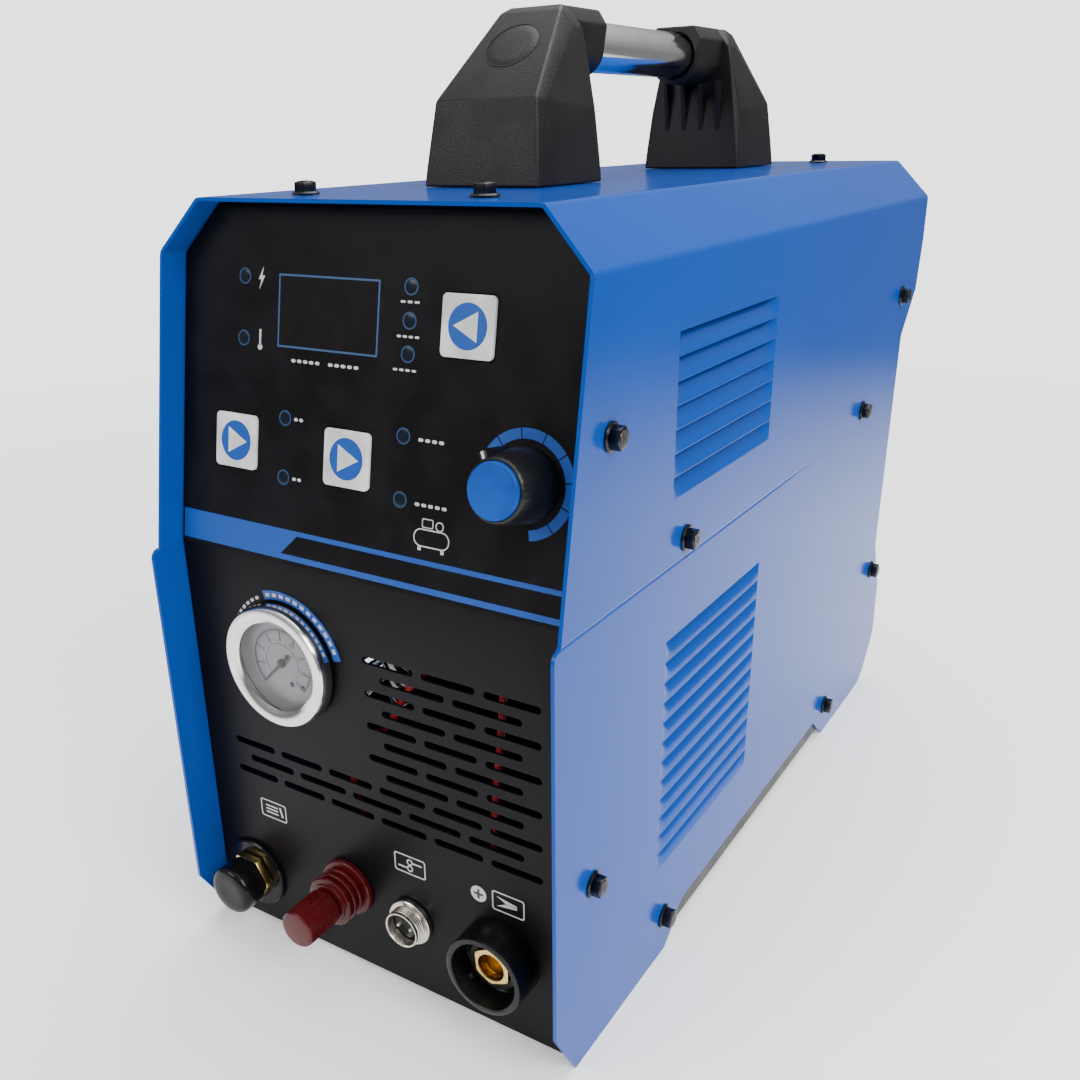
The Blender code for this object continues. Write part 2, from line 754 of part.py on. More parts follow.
def vent_slots():
    """(start, end, distance below the fold) of every slot: rows alternate between long and short."""
    slots = []
    for row in range(VENT_ROWS):
        short = row % 2
        wide = row >= WIDE_ROWS_FROM
        right = across(VENT_RIGHT_SHORT if short else VENT_RIGHT)
        left = across(VENT_LEFT if wide else VENT_MIDDLE) + (across(VENT_RIGHT) - right if short else 0.0)
        count = (5 if short else 6) if wide else (2 if short else 3)
        length = (right - left + VENT_GAP) / count - VENT_GAP
        for index in range(count):
            start = left + index * (length + VENT_GAP)
            slots.append((start, start + length, VENT_DOWN + row * VENT_PITCH))
    return slots


def build_front_panel(case, upper, lower, surface):
    depth = PANEL_REACH
    full = prism(casing_section(SHEET + FIT, PANEL_BOTTOM), -depth, depth)
    panel = solid("front_panel", full, surface, case)
    keep(panel, tool(prism(panel_band(0.0, RETURN_DEPTH), -CASE_WIDTH, CASE_WIDTH, "X"), case))
    hollow = tool(prism(casing_section(2 * SHEET + FIT, -depth), -depth, depth), case)
    keep(hollow, tool(prism(panel_band(SHEET, RETURN_DEPTH + depth), -CASE_WIDTH, CASE_WIDTH, "X"), case))
    cut(panel, hollow)
    openings = bmesh.new()
    for start, end, down in vent_slots():
        prism(slot_outline(start, end, -down, VENT_SLOT), -0.01, 0.01, "Y", openings)
    for share, down, radius in (
        (GAUGE_ACROSS, GAUGE_DOWN, GAUGE_BODY + FIT),
        (TORCH_ACROSS, drop(TORCH_HEIGHT), TORCH_NECK + FIT),
        (PILOT_ACROSS, drop(PILOT_HEIGHT), PILOT_NECK + FIT),
        (CONTROL_ACROSS, drop(CONTROL_HEIGHT), CONTROL_NECK + FIT),
        (WORK_ACROSS, drop(WORK_HEIGHT), WORK_NECK + FIT),
    ):
        hole = arc((across(share), -down), radius, 0, 352.5, 47)
        prism(hole[::2], -0.01, 0.01, "Y", openings)
    cut(panel, tool(openings, lower))
    cut(panel, control_holes(upper, -0.01, 0.01, KEY_STEM + FIT * 2, stems=True))
    case_holes = list(side_screw_places().values())
    cut(panel, side_drill(case, case_holes), top_drill(case))


def control_holes(upper, near, far, bush, stems):
    """The tool for the openings of the control face: display, shaft bush, and stems or whole keys."""
    mesh = bmesh.new()
    x, z = across(DISPLAY_PLACE[0]), up_face(DISPLAY_PLACE[1])
    half_width, half_height = DISPLAY_WIDTH / 2 + FIT, DISPLAY_HEIGHT / 2 + FIT
    block((x - half_width, near, z - half_height), (x + half_width, far, z + half_height), mesh)
    shaft = arc((across(KNOB_PLACE[0]), up_face(KNOB_PLACE[1])), BUSH_RADIUS + FIT, 0, 337.5, 15)
    prism(shaft, near, far, "Y", mesh)
    for share_x, share_z in KEY_PLACES.values():
        x, z = across(share_x), up_face(share_z)
        if stems:
            prism(arc((x, z), bush, 0, 330, 11), near, far, "Y", mesh)
        else:
            half = KEY_SIZE / 2 + FIT
            block((x - half, near, z - half), (x + half, far, z + half), mesh)
    return tool(mesh, upper)


def build_fascia(upper, surface):
    """The printed film on the control face, with openings for the display, keys and shaft."""
    half = inner_half() - FILM_MARGIN
    top = upper_face_height() - FILM_MARGIN
    corner = CASE_WIDTH / 2 - CHAMFER_WIDTH - FILM_MARGIN
    shoulder = top - CHAMFER_HEIGHT
    outline = [(-half, FIT), (half, FIT), (half, shoulder), (corner, top), (-corner, top), (-half, shoulder)]
    film = solid("fascia_film", prism(outline, -FIT - FILM, -FIT), surface, upper)
    nut = BUSH_NUT_FLATS * 1.2
    cut(film, control_holes(upper, -0.01, 0.01, nut, stems=False))
    nut_hole = arc((across(KNOB_PLACE[0]), up_face(KNOB_PLACE[1])), nut, 0, 337.5, 15)
    cut(film, tool(prism(nut_hole, -0.01, 0.01), upper))


def build_keys(upper, surface):
    back = FIT + KEY_TRAVEL
    front = back + KEY_THICKNESS
    stem_end = -(BOARD_GAP - SWITCH_CAN_DEPTH - KEY_TRAVEL - FIT)
    half = KEY_SIZE / 2
    for name, (share_x, share_z) in KEY_PLACES.items():
        plate = block((-half, -front, -half), (half, -back, half))
        key = solid(name, plate, surface, upper, (across(share_x), 0.0, up_face(share_z)))
        stem = turned([(KEY_STEM, stem_end), (KEY_STEM, back + KEY_THICKNESS / 2)], "-Y", 12)
        join(key, tool(stem, key))


def build_display(upper, window, module):
    place = (across(DISPLAY_PLACE[0]), 0.0, up_face(DISPLAY_PLACE[1]))
    half_width, half_height = DISPLAY_WIDTH / 2, DISPLAY_HEIGHT / 2
    front = -FIT - FILM - WINDOW_PROUD
    pane = block((-half_width, front, -half_height), (half_width, SHEET, half_height))
    solid("display_window", pane, window, upper, place)
    shrink = 0.001
    body = block(
        (-half_width + shrink, SHEET + FIT, -half_height + shrink),
        (half_width - shrink, BOARD_GAP - FIT, half_height - shrink),
    )
    solid("display_module", body, module, upper, place)


def build_control_board(upper, surface):
    """The board behind the control face, with the keys' switches on it."""
    low = (across(BOARD_LEFT), BOARD_GAP, up_face(BOARD_BOTTOM))
    high = (across(BOARD_RIGHT), BOARD_GAP + BOARD_THICKNESS, up_face(BOARD_TOP))
    board = solid("control_board", block(low, high), surface, upper)
    cans = bmesh.new()
    for share_x, share_z in KEY_PLACES.values():
        x, z = across(share_x), up_face(share_z)
        corner = (x - SWITCH_CAN, BOARD_GAP - SWITCH_CAN_DEPTH, z - SWITCH_CAN)
        block(corner, (x + SWITCH_CAN, BOARD_GAP + BOARD_THICKNESS / 2, z + SWITCH_CAN), cans)
    join(board, tool(cans, upper))


def build_current_knob(upper, black, blue, metal):
    """Potentiometer, its shaft, and the knob with its coloured cap, all on one axis."""
    axis = empty("knob_axis", upper, (across(KNOB_PLACE[0]), 0.0, up_face(KNOB_PLACE[1])))
    nut_front = FIT + BUSH_NUT
    bush_front = nut_front + 0.001
    bore = SHAFT_RADIUS + FIT
    pot = [
        (bore, -SHEET - POT_DEPTH * 0.8),
        (POT_RADIUS, -SHEET - POT_DEPTH * 0.8),
        (POT_RADIUS, -SHEET - FIT),
        (BUSH_RADIUS, -SHEET - FIT),
        (BUSH_RADIUS, FIT),
        (BUSH_NUT_FLATS, FIT, 6),
        (BUSH_NUT_FLATS, nut_front, 6),
        (BUSH_RADIUS, nut_front),
        (BUSH_RADIUS, bush_front),
        (bore, bush_front),
    ]
    solid("potentiometer_body", turned(pot, steps=18, ring=True), metal, axis)
    shaft_end = KNOB_DEPTH - 0.006
    shaft_start = -SHEET - POT_DEPTH * 0.6
    shaft = turned([(SHAFT_RADIUS, shaft_start), (SHAFT_RADIUS, shaft_end)], steps=16)
    solid("potentiometer_shaft", shaft, metal, axis)
    back = FIT * 2 + FILM
    cap_floor = KNOB_DEPTH - KNOB_CAP_SEAT
    body = [
        (0.0, shaft_end + FIT),
        (SHAFT_RADIUS + FIT, shaft_end + FIT),
        (SHAFT_RADIUS + FIT, bush_front + FIT * 2),
        (BUSH_NUT_FLATS * 1.25, bush_front + FIT * 2),
        (BUSH_NUT_FLATS * 1.25, back),
        (KNOB_SKIRT, back),
        (KNOB_SKIRT, back + 0.003),
        (KNOB_FACE, KNOB_DEPTH - 0.001),
        (KNOB_FACE - 0.001, KNOB_DEPTH),
        (KNOB_CAP_RADIUS + FIT, KNOB_DEPTH),
        (KNOB_CAP_RADIUS + FIT, cap_floor),
        (0.0, cap_floor),
    ]
    knob = solid("current_knob", turned(body, steps=24), black, axis)
    tip = KNOB_SKIRT + 0.0006
    ridge = block((-0.0013, -KNOB_DEPTH + 0.0015, KNOB_CAP_RADIUS), (0.0013, -back - 0.001, tip))
    join(knob, tool(ridge, axis, rotation=(0.0, -math.radians(KNOB_POINTER_TURN), 0.0)))
    cap_front = KNOB_DEPTH + KNOB_CAP_PROUD
    cap = [
        (0.0, cap_floor + FIT),
        (KNOB_CAP_RADIUS, cap_floor + FIT),
        (KNOB_CAP_RADIUS, cap_front - 0.0006),
        (KNOB_CAP_RADIUS - 0.0006, cap_front),
        (0.0, cap_front),
    ]
    solid("knob_cap", turned(cap, steps=24), blue, axis)


def build_gauge(lower, metal, dial_finish, needle_finish, glass):
    """Case with its bezel and rear stub, dial, needle on its pin, and lens."""
    centre = empty("gauge_axis", lower, (across(GAUGE_ACROSS), 0.0, -GAUGE_DOWN))
    mouth = GAUGE_BEZEL - GAUGE_RIM
    floor = -0.0045
    case = [
        (0.0, floor),
        (mouth - 0.002, floor),
        (mouth - 0.002, FIT + 0.001),
        (mouth, FIT + 0.001),
        (mouth, GAUGE_BEZEL_DEPTH - 0.0015),
        (mouth + 0.0009, GAUGE_BEZEL_DEPTH),
        (GAUGE_BEZEL - 0.0015, GAUGE_BEZEL_DEPTH),
        (GAUGE_BEZEL, GAUGE_BEZEL_DEPTH - 0.002),
        (GAUGE_BEZEL, FIT),
        (GAUGE_BODY, FIT),
        (GAUGE_BODY, -GAUGE_BODY_DEPTH),
        (GAUGE_STUB_FLATS, -GAUGE_BODY_DEPTH, 6),
        (GAUGE_STUB_FLATS, -GAUGE_BODY_DEPTH - GAUGE_STUB, 6),
        (0.0, -GAUGE_BODY_DEPTH - GAUGE_STUB),
    ]
    solid("gauge_case", turned(case, steps=30), metal, centre)
    dial_back = FIT * 2 + 0.001
    dial_front = dial_back + DIAL_THICKNESS
    rim = mouth - FIT
    eye = NEEDLE_PIN + FIT
    dial = [(eye, dial_back), (rim, dial_back), (rim, dial_front), (eye, dial_front)]
    solid("gauge_dial", turned(dial, steps=24, ring=True), dial_finish, centre)
    needle_back = dial_front + FIT
    needle_front = needle_back + NEEDLE_THICKNESS
    hub = [
        (0.0, dial_back - 0.002),
        (NEEDLE_PIN, dial_back - 0.002),
        (NEEDLE_PIN, needle_back),
        (NEEDLE_HUB, needle_back),
        (NEEDLE_HUB, needle_front + 0.0008),
        (0.0, needle_front + 0.0008),
    ]
    turn = (0.0, -math.radians(NEEDLE_REST_TURN), 0.0)
    needle = solid("gauge_needle", turned(hub, steps=16), needle_finish, centre, rotation=turn)
    blade = [(-NEEDLE_WIDTH, -NEEDLE_TAIL), (NEEDLE_WIDTH, -NEEDLE_TAIL)]
    blade += [(0.0002, NEEDLE_LENGTH), (-0.0002, NEEDLE_LENGTH)]
    join(needle, tool(prism(blade, -needle_front, -needle_back), needle))
    lens_front = GAUGE_BEZEL_DEPTH - 0.0018
    lens = [(rim, lens_front - LENS_THICKNESS), (rim, lens_front)]
    solid("gauge_lens", turned(lens, steps=30), glass, centre)


# ---- Front connectors ----
def build_torch_outlet(lower, rubber, brass):
    outlet = empty("torch_axis", lower, (across(TORCH_ACROSS), 0.0, -drop(TORCH_HEIGHT)))
    hole = TORCH_NECK + FIT
    flange_front = FIT + TORCH_FLANGE_THICKNESS
    flange = [(hole, FIT), (TORCH_FLANGE, FIT), (TORCH_FLANGE, flange_front - 0.0006)]
    flange += [(TORCH_FLANGE - 0.0006, flange_front), (hole, flange_front)]
    solid("torch_flange", turned(flange, steps=24, ring=True), rubber, outlet)
    hex_back = flange_front + FIT
    hex_front = hex_back + TORCH_HEX
    fitting = [
        (TORCH_BORE, -TORCH_TAIL),
        (TORCH_NECK, -TORCH_TAIL),
        (TORCH_NECK, hex_back),
        (TORCH_HEX_FLATS, hex_back, 6),
        (TORCH_HEX_FLATS, hex_front, 6),
        (TORCH_THREAD, hex_front),
        (TORCH_THREAD, TORCH_REACH - 0.001),
        (TORCH_THREAD - 0.001, TORCH_REACH),
        (TORCH_BORE, TORCH_REACH),
    ]
    solid("torch_fitting", turned(fitting, steps=18, ring=True), brass, outlet)
    inner = TORCH_THREAD + FIT
    cap_back = hex_front + FIT * 2
    cap = [
        (inner, cap_back),
        (CAP_RADIUS - 0.0005, cap_back),
        (CAP_RADIUS, cap_back + 0.0015),
        (CAP_RADIUS, CAP_FRONT - 0.003),
        (CAP_RADIUS - 0.0012, CAP_FRONT - 0.0008),
        (CAP_RADIUS - 0.0035, CAP_FRONT),
        (0.0, CAP_FRONT + 0.0003),
        (0.0, CAP_FRONT - CAP_WALL + FIT),
        (inner, CAP_FRONT - CAP_WALL + FIT),
    ]
    solid("torch_cap", turned(cap, steps=24, ring=True), rubber, outlet)


def build_pilot_post(lower, red, knob_red):
    """Ribbed insulating post with its metal stud, and the thumb knob on the stud."""
    post = empty("pilot_axis", lower, (across(PILOT_ACROSS), 0.0, -drop(PILOT_HEIGHT)))
    profile = [(0.0, -PILOT_TAIL), (PILOT_NECK, -PILOT_TAIL), (PILOT_NECK, FIT), (PILOT_BASE, FIT)]
    profile += [(PILOT_BASE, PILOT_FLANGE), (PILOT_GROOVE, PILOT_FLANGE + 0.0008)]
    for rib in range(PILOT_RIBS):
        start = PILOT_FLANGE + 0.0012 + rib * PILOT_RIB_PITCH
        profile += [(PILOT_RIB, start + 0.0006), (PILOT_RIB, start + PILOT_RIB_PITCH * 0.55)]
        profile += [(PILOT_GROOVE, start + PILOT_RIB_PITCH * 0.75)]
    base_front = PILOT_FLANGE + 0.0012 + PILOT_RIBS * PILOT_RIB_PITCH
    stud_front = PILOT_REACH - 0.004
    profile += [(PILOT_GROOVE, base_front), (PILOT_STUD, base_front)]
    profile += [(PILOT_STUD, stud_front), (0.0, stud_front)]
    solid("pilot_post", turned(profile, steps=20), red, post)
    back = PILOT_REACH - PILOT_KNOB_LENGTH
    bore = PILOT_STUD + FIT
    knob = [
        (bore, back),
        (PILOT_KNOB - 0.0008, back),
        (PILOT_KNOB, back + 0.0008),
        (PILOT_KNOB, PILOT_REACH - 0.0008),
        (PILOT_KNOB - 0.0008, PILOT_REACH),
        (0.0, PILOT_REACH),
        (0.0, stud_front + FIT),
        (bore, stud_front + FIT),
    ]
    solid("pilot_knob", turned(knob, steps=20, ring=True), knob_red, post)


def build_control_socket(lower, metal, plastic):
    """Two-pin round socket: threaded metal shell, and the insert that holds the pins."""
    axis = empty("control_axis", lower, (across(CONTROL_ACROSS), 0.0, -drop(CONTROL_HEIGHT)))
    bore = CONTROL_BARREL - CONTROL_WALL
    neck_bore = CONTROL_NECK - CONTROL_WALL
    flange_front = FIT + CONTROL_FLANGE_THICKNESS
    shell = [
        (neck_bore, -CONTROL_TAIL),
        (CONTROL_NECK, -CONTROL_TAIL),
        (CONTROL_NECK, FIT),
        (CONTROL_FLANGE, FIT),
        (CONTROL_FLANGE, flange_front),
        (CONTROL_BARREL, flange_front),
        (CONTROL_BARREL, CONTROL_REACH - 0.0004),
        (CONTROL_BARREL - 0.0004, CONTROL_REACH),
        (bore, CONTROL_REACH),
        (bore, FIT),
        (neck_bore, FIT),
    ]
    solid("control_socket_shell", turned(shell, steps=20, ring=True), metal, axis)
    face = CONTROL_REACH * 0.45
    tail = -CONTROL_TAIL * 0.8
    insert = [(0.0, tail), (neck_bore - FIT, tail), (neck_bore - FIT, FIT * 2), (bore - FIT, FIT * 2)]
    insert += [(bore - FIT, face), (0.0, face)]
    core = solid("control_socket_insert", turned(insert, steps=24), plastic, axis)
    for sign in (-1, 1):
        pin = turned([(CONTROL_PIN, face - 0.001), (CONTROL_PIN, CONTROL_REACH - 0.0012)], steps=10)
        join(core, tool(pin, axis, (sign * CONTROL_PIN_SPREAD, 0.0, 0.0)))


def build_work_socket(lower, plastic, brass):
    """Socket for the work lead: deep insulating shell and the brass insert with its rear stud."""
    axis = empty("work_axis", lower, (across(WORK_ACROSS), 0.0, -drop(WORK_HEIGHT)))
    hole = WORK_INSERT_NECK + FIT
    cup = WORK_SHELL - WORK_WALL
    shell = [
        (hole, -WORK_TAIL),
        (WORK_NECK, -WORK_TAIL),
        (WORK_NECK, FIT),
        (WORK_SHELL, FIT),
        (WORK_SHELL, WORK_REACH - 0.0006),
        (WORK_SHELL - 0.0006, WORK_REACH),
        (cup, WORK_REACH),
        (cup, WORK_CUP_FLOOR),
        (hole, WORK_CUP_FLOOR),
    ]
    solid("work_socket_shell", turned(shell, steps=28, ring=True), plastic, axis)
    insert = [
        (0.0, -WORK_TAIL - WORK_STUD_LENGTH),
        (WORK_STUD, -WORK_TAIL - WORK_STUD_LENGTH),
        (WORK_STUD, -WORK_TAIL),
        (WORK_INSERT_NECK, -WORK_TAIL),
        (WORK_INSERT_NECK, WORK_CUP_FLOOR + FIT),
        (WORK_INSERT_FLATS, WORK_CUP_FLOOR + FIT, 6),
        (WORK_INSERT_FLATS, WORK_INSERT_FRONT, 6),
        (WORK_BORE, WORK_INSERT_FRONT),
        (WORK_BORE, -WORK_TAIL + 0.002),
        (0.0, -WORK_TAIL + 0.002),
    ]
    solid("work_socket_insert", turned(insert, steps=24), brass, axis)


# ---- Back ----
def fan_place():
    return (0.0, inside_back() - FAN_DEPTH, CASE_HEIGHT - FAN_TOP_GAP - FAN_SIZE / 2)


def build_rear_panel(case, surface):
    face = rear_panel_y()
    front = face - RETURN_DEPTH
    panel = solid("rear_panel", prism(casing_section(SHEET + FIT, PAN_HEIGHT), front, face), surface, case)
    inner = prism(casing_section(2 * SHEET + FIT, -PANEL_REACH), front - PANEL_REACH, face - SHEET)
    openings = bmesh.new()
    middle = fan_place()[2]
    rows = int(FAN_BORE / GRILLE_PITCH)
    for row in range(-rows, rows + 1):
        level = row * GRILLE_PITCH
        half = math.sqrt(FAN_BORE**2 - level**2) - GRILLE_SLOT / 2
        for start, end in ((-half, -GRILLE_SLOT / 2), (GRILLE_SLOT / 2, half)):
            slot = slot_outline(start, end, middle + level, GRILLE_SLOT)
            prism(slot, face - 0.01, face + 0.01, "Y", openings)
    for x, height, radius in ((GLAND_X, GLAND_HEIGHT, GLAND_THREAD), (INLET_X, INLET_HEIGHT, INLET_THREAD)):
        prism(arc((x, height), radius + FIT, 0, 345, 23), face - 0.01, face + 0.01, "Y", openings)
    half_width, half_height = SWITCH_WIDTH / 2 - SWITCH_RIM + FIT, SWITCH_TALL / 2 - SWITCH_RIM + FIT
    low = (SWITCH_X - half_width, face - 0.01, SWITCH_HEIGHT - half_height)
    block(low, (SWITCH_X + half_width, face + 0.01, SWITCH_HEIGHT + half_height), openings)
    cut(panel, tool(inner, case), tool(openings, case))
    cut(panel, side_drill(case, list(side_screw_places().values())), top_drill(case))


def build_fan(case, frame_finish, blade_finish):
    """Axial fan behind the grille: frame with a motor seat on struts, and the impeller on its pin."""
    place = fan_place()
    half = FAN_SIZE / 2
    frame = solid("fan_frame", block((-half, 0.0, -half), (half, FAN_DEPTH, half)), frame_finish, case, place)
    cut(frame, tool(turned([(FAN_BORE, -0.01), (FAN_BORE, FAN_DEPTH + 0.01)], "Y", 40), frame))
    seat_start = FAN_DEPTH - FAN_STRUT
    pin_hole = FAN_PIN + FIT
    seat = [(pin_hole, seat_start), (FAN_HUB, seat_start), (FAN_HUB, FAN_DEPTH), (pin_hole, FAN_DEPTH)]
    struts = turned(seat, "Y", 24, ring=True)
    join(frame, tool(struts, frame))
    for index in range(4):
        inner = FAN_HUB - 0.002
        bar = block((inner, seat_start, -FAN_STRUT / 2), (FAN_BORE + 0.001, FAN_DEPTH, FAN_STRUT / 2))
        join(frame, tool(bar, frame, rotation=(0.0, math.radians(45 + 90 * index), 0.0)))
    hub_end = seat_start - 0.001
    hub = [
        (0.0, 0.002),
        (FAN_HUB, 0.002),
        (FAN_HUB, hub_end),
        (FAN_PIN, hub_end),
        (FAN_PIN, FAN_DEPTH - 0.001),
        (0.0, FAN_DEPTH - 0.001),
    ]
    impeller = solid("fan_impeller", turned(hub, "Y", 28), blade_finish, case, place)
    tip = FAN_BORE - FAN_TIP_GAP
    for index in range(FAN_BLADES):
        root = FAN_HUB - 0.003
        blade = [(-0.009, 0.004), (-0.007, 0.0035), (0.011, hub_end - 0.003), (0.009, hub_end - 0.002)]
        mesh = prism(blade, root, tip, "Z")
        join(impeller, tool(mesh, impeller, rotation=(0.0, math.tau * index / FAN_BLADES, 0.0)))


def build_switch(case, body_finish, rocker_finish):
    """Rocker switch: rimmed body, and the rocker on its cross pin, tipped to off."""
    place = (SWITCH_X, rear_panel_y(), SWITCH_HEIGHT)
    half_width, half_height = SWITCH_WIDTH / 2, SWITCH_TALL / 2
    rim = block((-half_width, FIT, -half_height), (half_width, FIT + SWITCH_PROUD, half_height))
    body = solid("power_switch_body", rim, body_finish, case, place)
    inner_width, inner_height = half_width - SWITCH_RIM, half_height - SWITCH_RIM
    corner = (inner_width, FIT + SWITCH_PROUD / 2, inner_height)
    join(body, tool(block((-inner_width, -SWITCH_DEPTH, -inner_height), corner), body))
    well_width, well_height = inner_width - 0.0012, inner_height - 0.0012
    well = block((-well_width, -0.009, -well_height), (well_width, 0.01, well_height))
    cut(body, tool(well, body))
    rocker_width, rocker_height = well_width - FIT, well_height - 0.0012
    outline = [
        (-0.0045, -0.0028),
        (0.0012, -rocker_height),
        (0.0052, -rocker_height),
        (0.0028, 0.0),
        (0.0052, rocker_height),
        (0.0012, rocker_height),
        (-0.0045, 0.0028),
    ]
    rocker = prism(outline, -rocker_width, rocker_width, "X")
    tilt = (math.radians(ROCKER_TILT), 0.0, 0.0)
    solid("power_switch_rocker", rocker, rocker_finish, case, place, tilt)


def build_rear_fittings(case, plastic, brass):
    """Cord gland with its dome nut, and the inlet for an outside air line."""
    face = rear_panel_y()
    gland = [
        (GLAND_BORE, -0.012),
        (GLAND_THREAD, -0.012),
        (GLAND_THREAD, FIT),
        (GLAND_FLATS, FIT, 6),
        (GLAND_FLATS, 0.005, 6),
        (GLAND_THREAD, 0.005),
        (GLAND_THREAD, 0.008),
        (GLAND_FLATS * 0.97, 0.008),
        (GLAND_FLATS * 0.97, 0.014),
        (GLAND_BORE + 0.002, GLAND_REACH),
        (GLAND_BORE, GLAND_REACH),
    ]
    solid("cord_gland", turned(gland, "Y", 18, ring=True), plastic, case, (GLAND_X, face, GLAND_HEIGHT))
    inlet = [
        (INLET_BORE, -0.016),
        (INLET_THREAD, -0.016),
        (INLET_THREAD, FIT),
        (INLET_FLATS, FIT, 6),
        (INLET_FLATS, 0.006, 6),
        (INLET_THREAD, 0.006),
        (INLET_THREAD, INLET_REACH - 0.010),
        (INLET_THREAD - 0.0015, INLET_REACH - 0.009),
        (INLET_THREAD - 0.0015, INLET_REACH - 0.005),
        (INLET_THREAD, INLET_REACH - 0.004),
        (INLET_THREAD - 0.001, INLET_REACH),
        (INLET_BORE, INLET_REACH),
    ]
    solid("air_inlet", turned(inlet, "Y", 18, ring=True), brass, case, (INLET_X, face, INLET_HEIGHT))


# ---- Compressor, below the deck ----
def build_compressor(case, metal, casting, rotor_finish):
    """Motor, pump in front of it with a finned cylinder, and the rotor with crank and fan."""
    rear = inside_back() - MOTOR_REAR_GAP
    axis = empty("compressor_axis", case, (MOTOR_X, rear, PAN_HEIGHT + SHEET + FIT + MOTOR_RISE))
    bore = ROTOR_SHAFT + FIT
    front = -MOTOR_LENGTH
    motor = [
        (bore, front),
        (MOTOR_RADIUS - 0.006, front),
        (MOTOR_RADIUS, front + 0.006),
        (MOTOR_RADIUS, -0.006),
        (MOTOR_RADIUS - 0.006, 0.0),
        (bore, 0.0),
    ]
    body = solid("compressor_motor", turned(motor, "Y", 24, ring=True), metal, axis)
    half = MOTOR_FOOT_WIDTH / 2
    foot = block((-half, front + 0.015, -MOTOR_RISE), (half, -0.015, -MOTOR_RADIUS * 0.8))
    join(body, tool(foot, axis))
    pump_back = front - FIT
    pump_front = pump_back - PUMP_DEPTH
    half = PUMP_WIDTH / 2
    crankcase = block((-half, pump_front, -MOTOR_RISE), (half, pump_back, PUMP_RISE))
    pump = solid("compressor_pump", crankcase, casting, axis)
    pump_middle = (pump_back + pump_front) / 2
    fins = [(0.0, PUMP_RISE - 0.004), (PUMP_FIN_ROOT, PUMP_RISE - 0.004)]
    for fin in range(PUMP_FINS):
        level = PUMP_RISE + 0.002 + fin * PUMP_FIN_PITCH
        reach = PUMP_FIN if fin < PUMP_FINS - 1 else PUMP_FIN * 0.9
        fins += [(PUMP_FIN_ROOT, level), (reach, level)]
        fins += [(reach, level + 0.003), (PUMP_FIN_ROOT, level + 0.003)]
    fins.append((0.0, fins[-1][1]))
    join(pump, tool(turned(fins, "Z", 16), axis, (0.0, pump_middle, 0.0)))
    crank_start = pump_back - 0.006 - CRANK_DEPTH
    room = CRANK_RADIUS + 0.003
    cavity = turned([(room, crank_start - 0.003), (room, pump_back - 0.003)], "Y", 16)
    entry = turned([(bore, pump_back - 0.01), (bore, pump_back + 0.01)], "Y", 16)
    cut(pump, tool(cavity, axis), tool(entry, axis))
    fan_start = ROTOR_FAN_GAP
    fan_end = fan_start + ROTOR_FAN_DEPTH
    profile = [
        (0.0, crank_start),
        (CRANK_RADIUS, crank_start),
        (CRANK_RADIUS, crank_start + CRANK_DEPTH),
        (ROTOR_SHAFT, crank_start + CRANK_DEPTH),
        (ROTOR_SHAFT, fan_start),
        (ROTOR_FAN * 0.3, fan_start),
        (ROTOR_FAN * 0.3, fan_end),
        (0.0, fan_end),
    ]
    rotor = solid("compressor_rotor", turned(profile, "Y", 24), rotor_finish, axis)
    for index in range(ROTOR_BLADES):
        far = fan_end - 0.001
        blade = [(-0.006, fan_start), (-0.0045, fan_start), (0.006, far), (0.0045, far)]
        mesh = prism(blade, ROTOR_FAN * 0.25, ROTOR_FAN, "Z")
        join(rotor, tool(mesh, axis, rotation=(0.0, math.tau * index / ROTOR_BLADES, 0.0)))


def build_air_parts(case, casting, bowl, brass):
    """Pressure regulator with its filter bowl, and the solenoid valve behind the torch outlet."""
    place = (REGULATOR_X, inside_back() - REGULATOR_SETBACK, PAN_HEIGHT + SHEET + FIT)
    radius = REGULATOR_RADIUS
    bottle = [
        (0.0, 0.0),
        (radius * 0.6, 0.0),
        (radius, 0.008),
        (radius, 0.052),
        (radius * 1.12, 0.052),
        (radius * 1.12, 0.080),
        (radius * 0.8, 0.080),
        (radius * 0.8, 0.106),
        (0.0, 0.106),
    ]
    regulator = solid("air_regulator", turned(bottle, "Z", 16), bowl, case, place)
    ports = turned([(0.0065, -0.030), (0.0065, 0.030)], "Y", 12)
    join(regulator, tool(ports, regulator, (0.0, 0.0, 0.066)))
    place = (VALVE_X, VALVE_Y, PAN_HEIGHT + SHEET + FIT)
    valve = solid("solenoid_valve", block((-0.016, -0.013, 0.0), (0.016, 0.013, 0.026)), brass, case, place)
    coil = block((-0.012, -0.011, 0.025), (0.012, 0.011, 0.056))
    join(valve, tool(coil, valve))


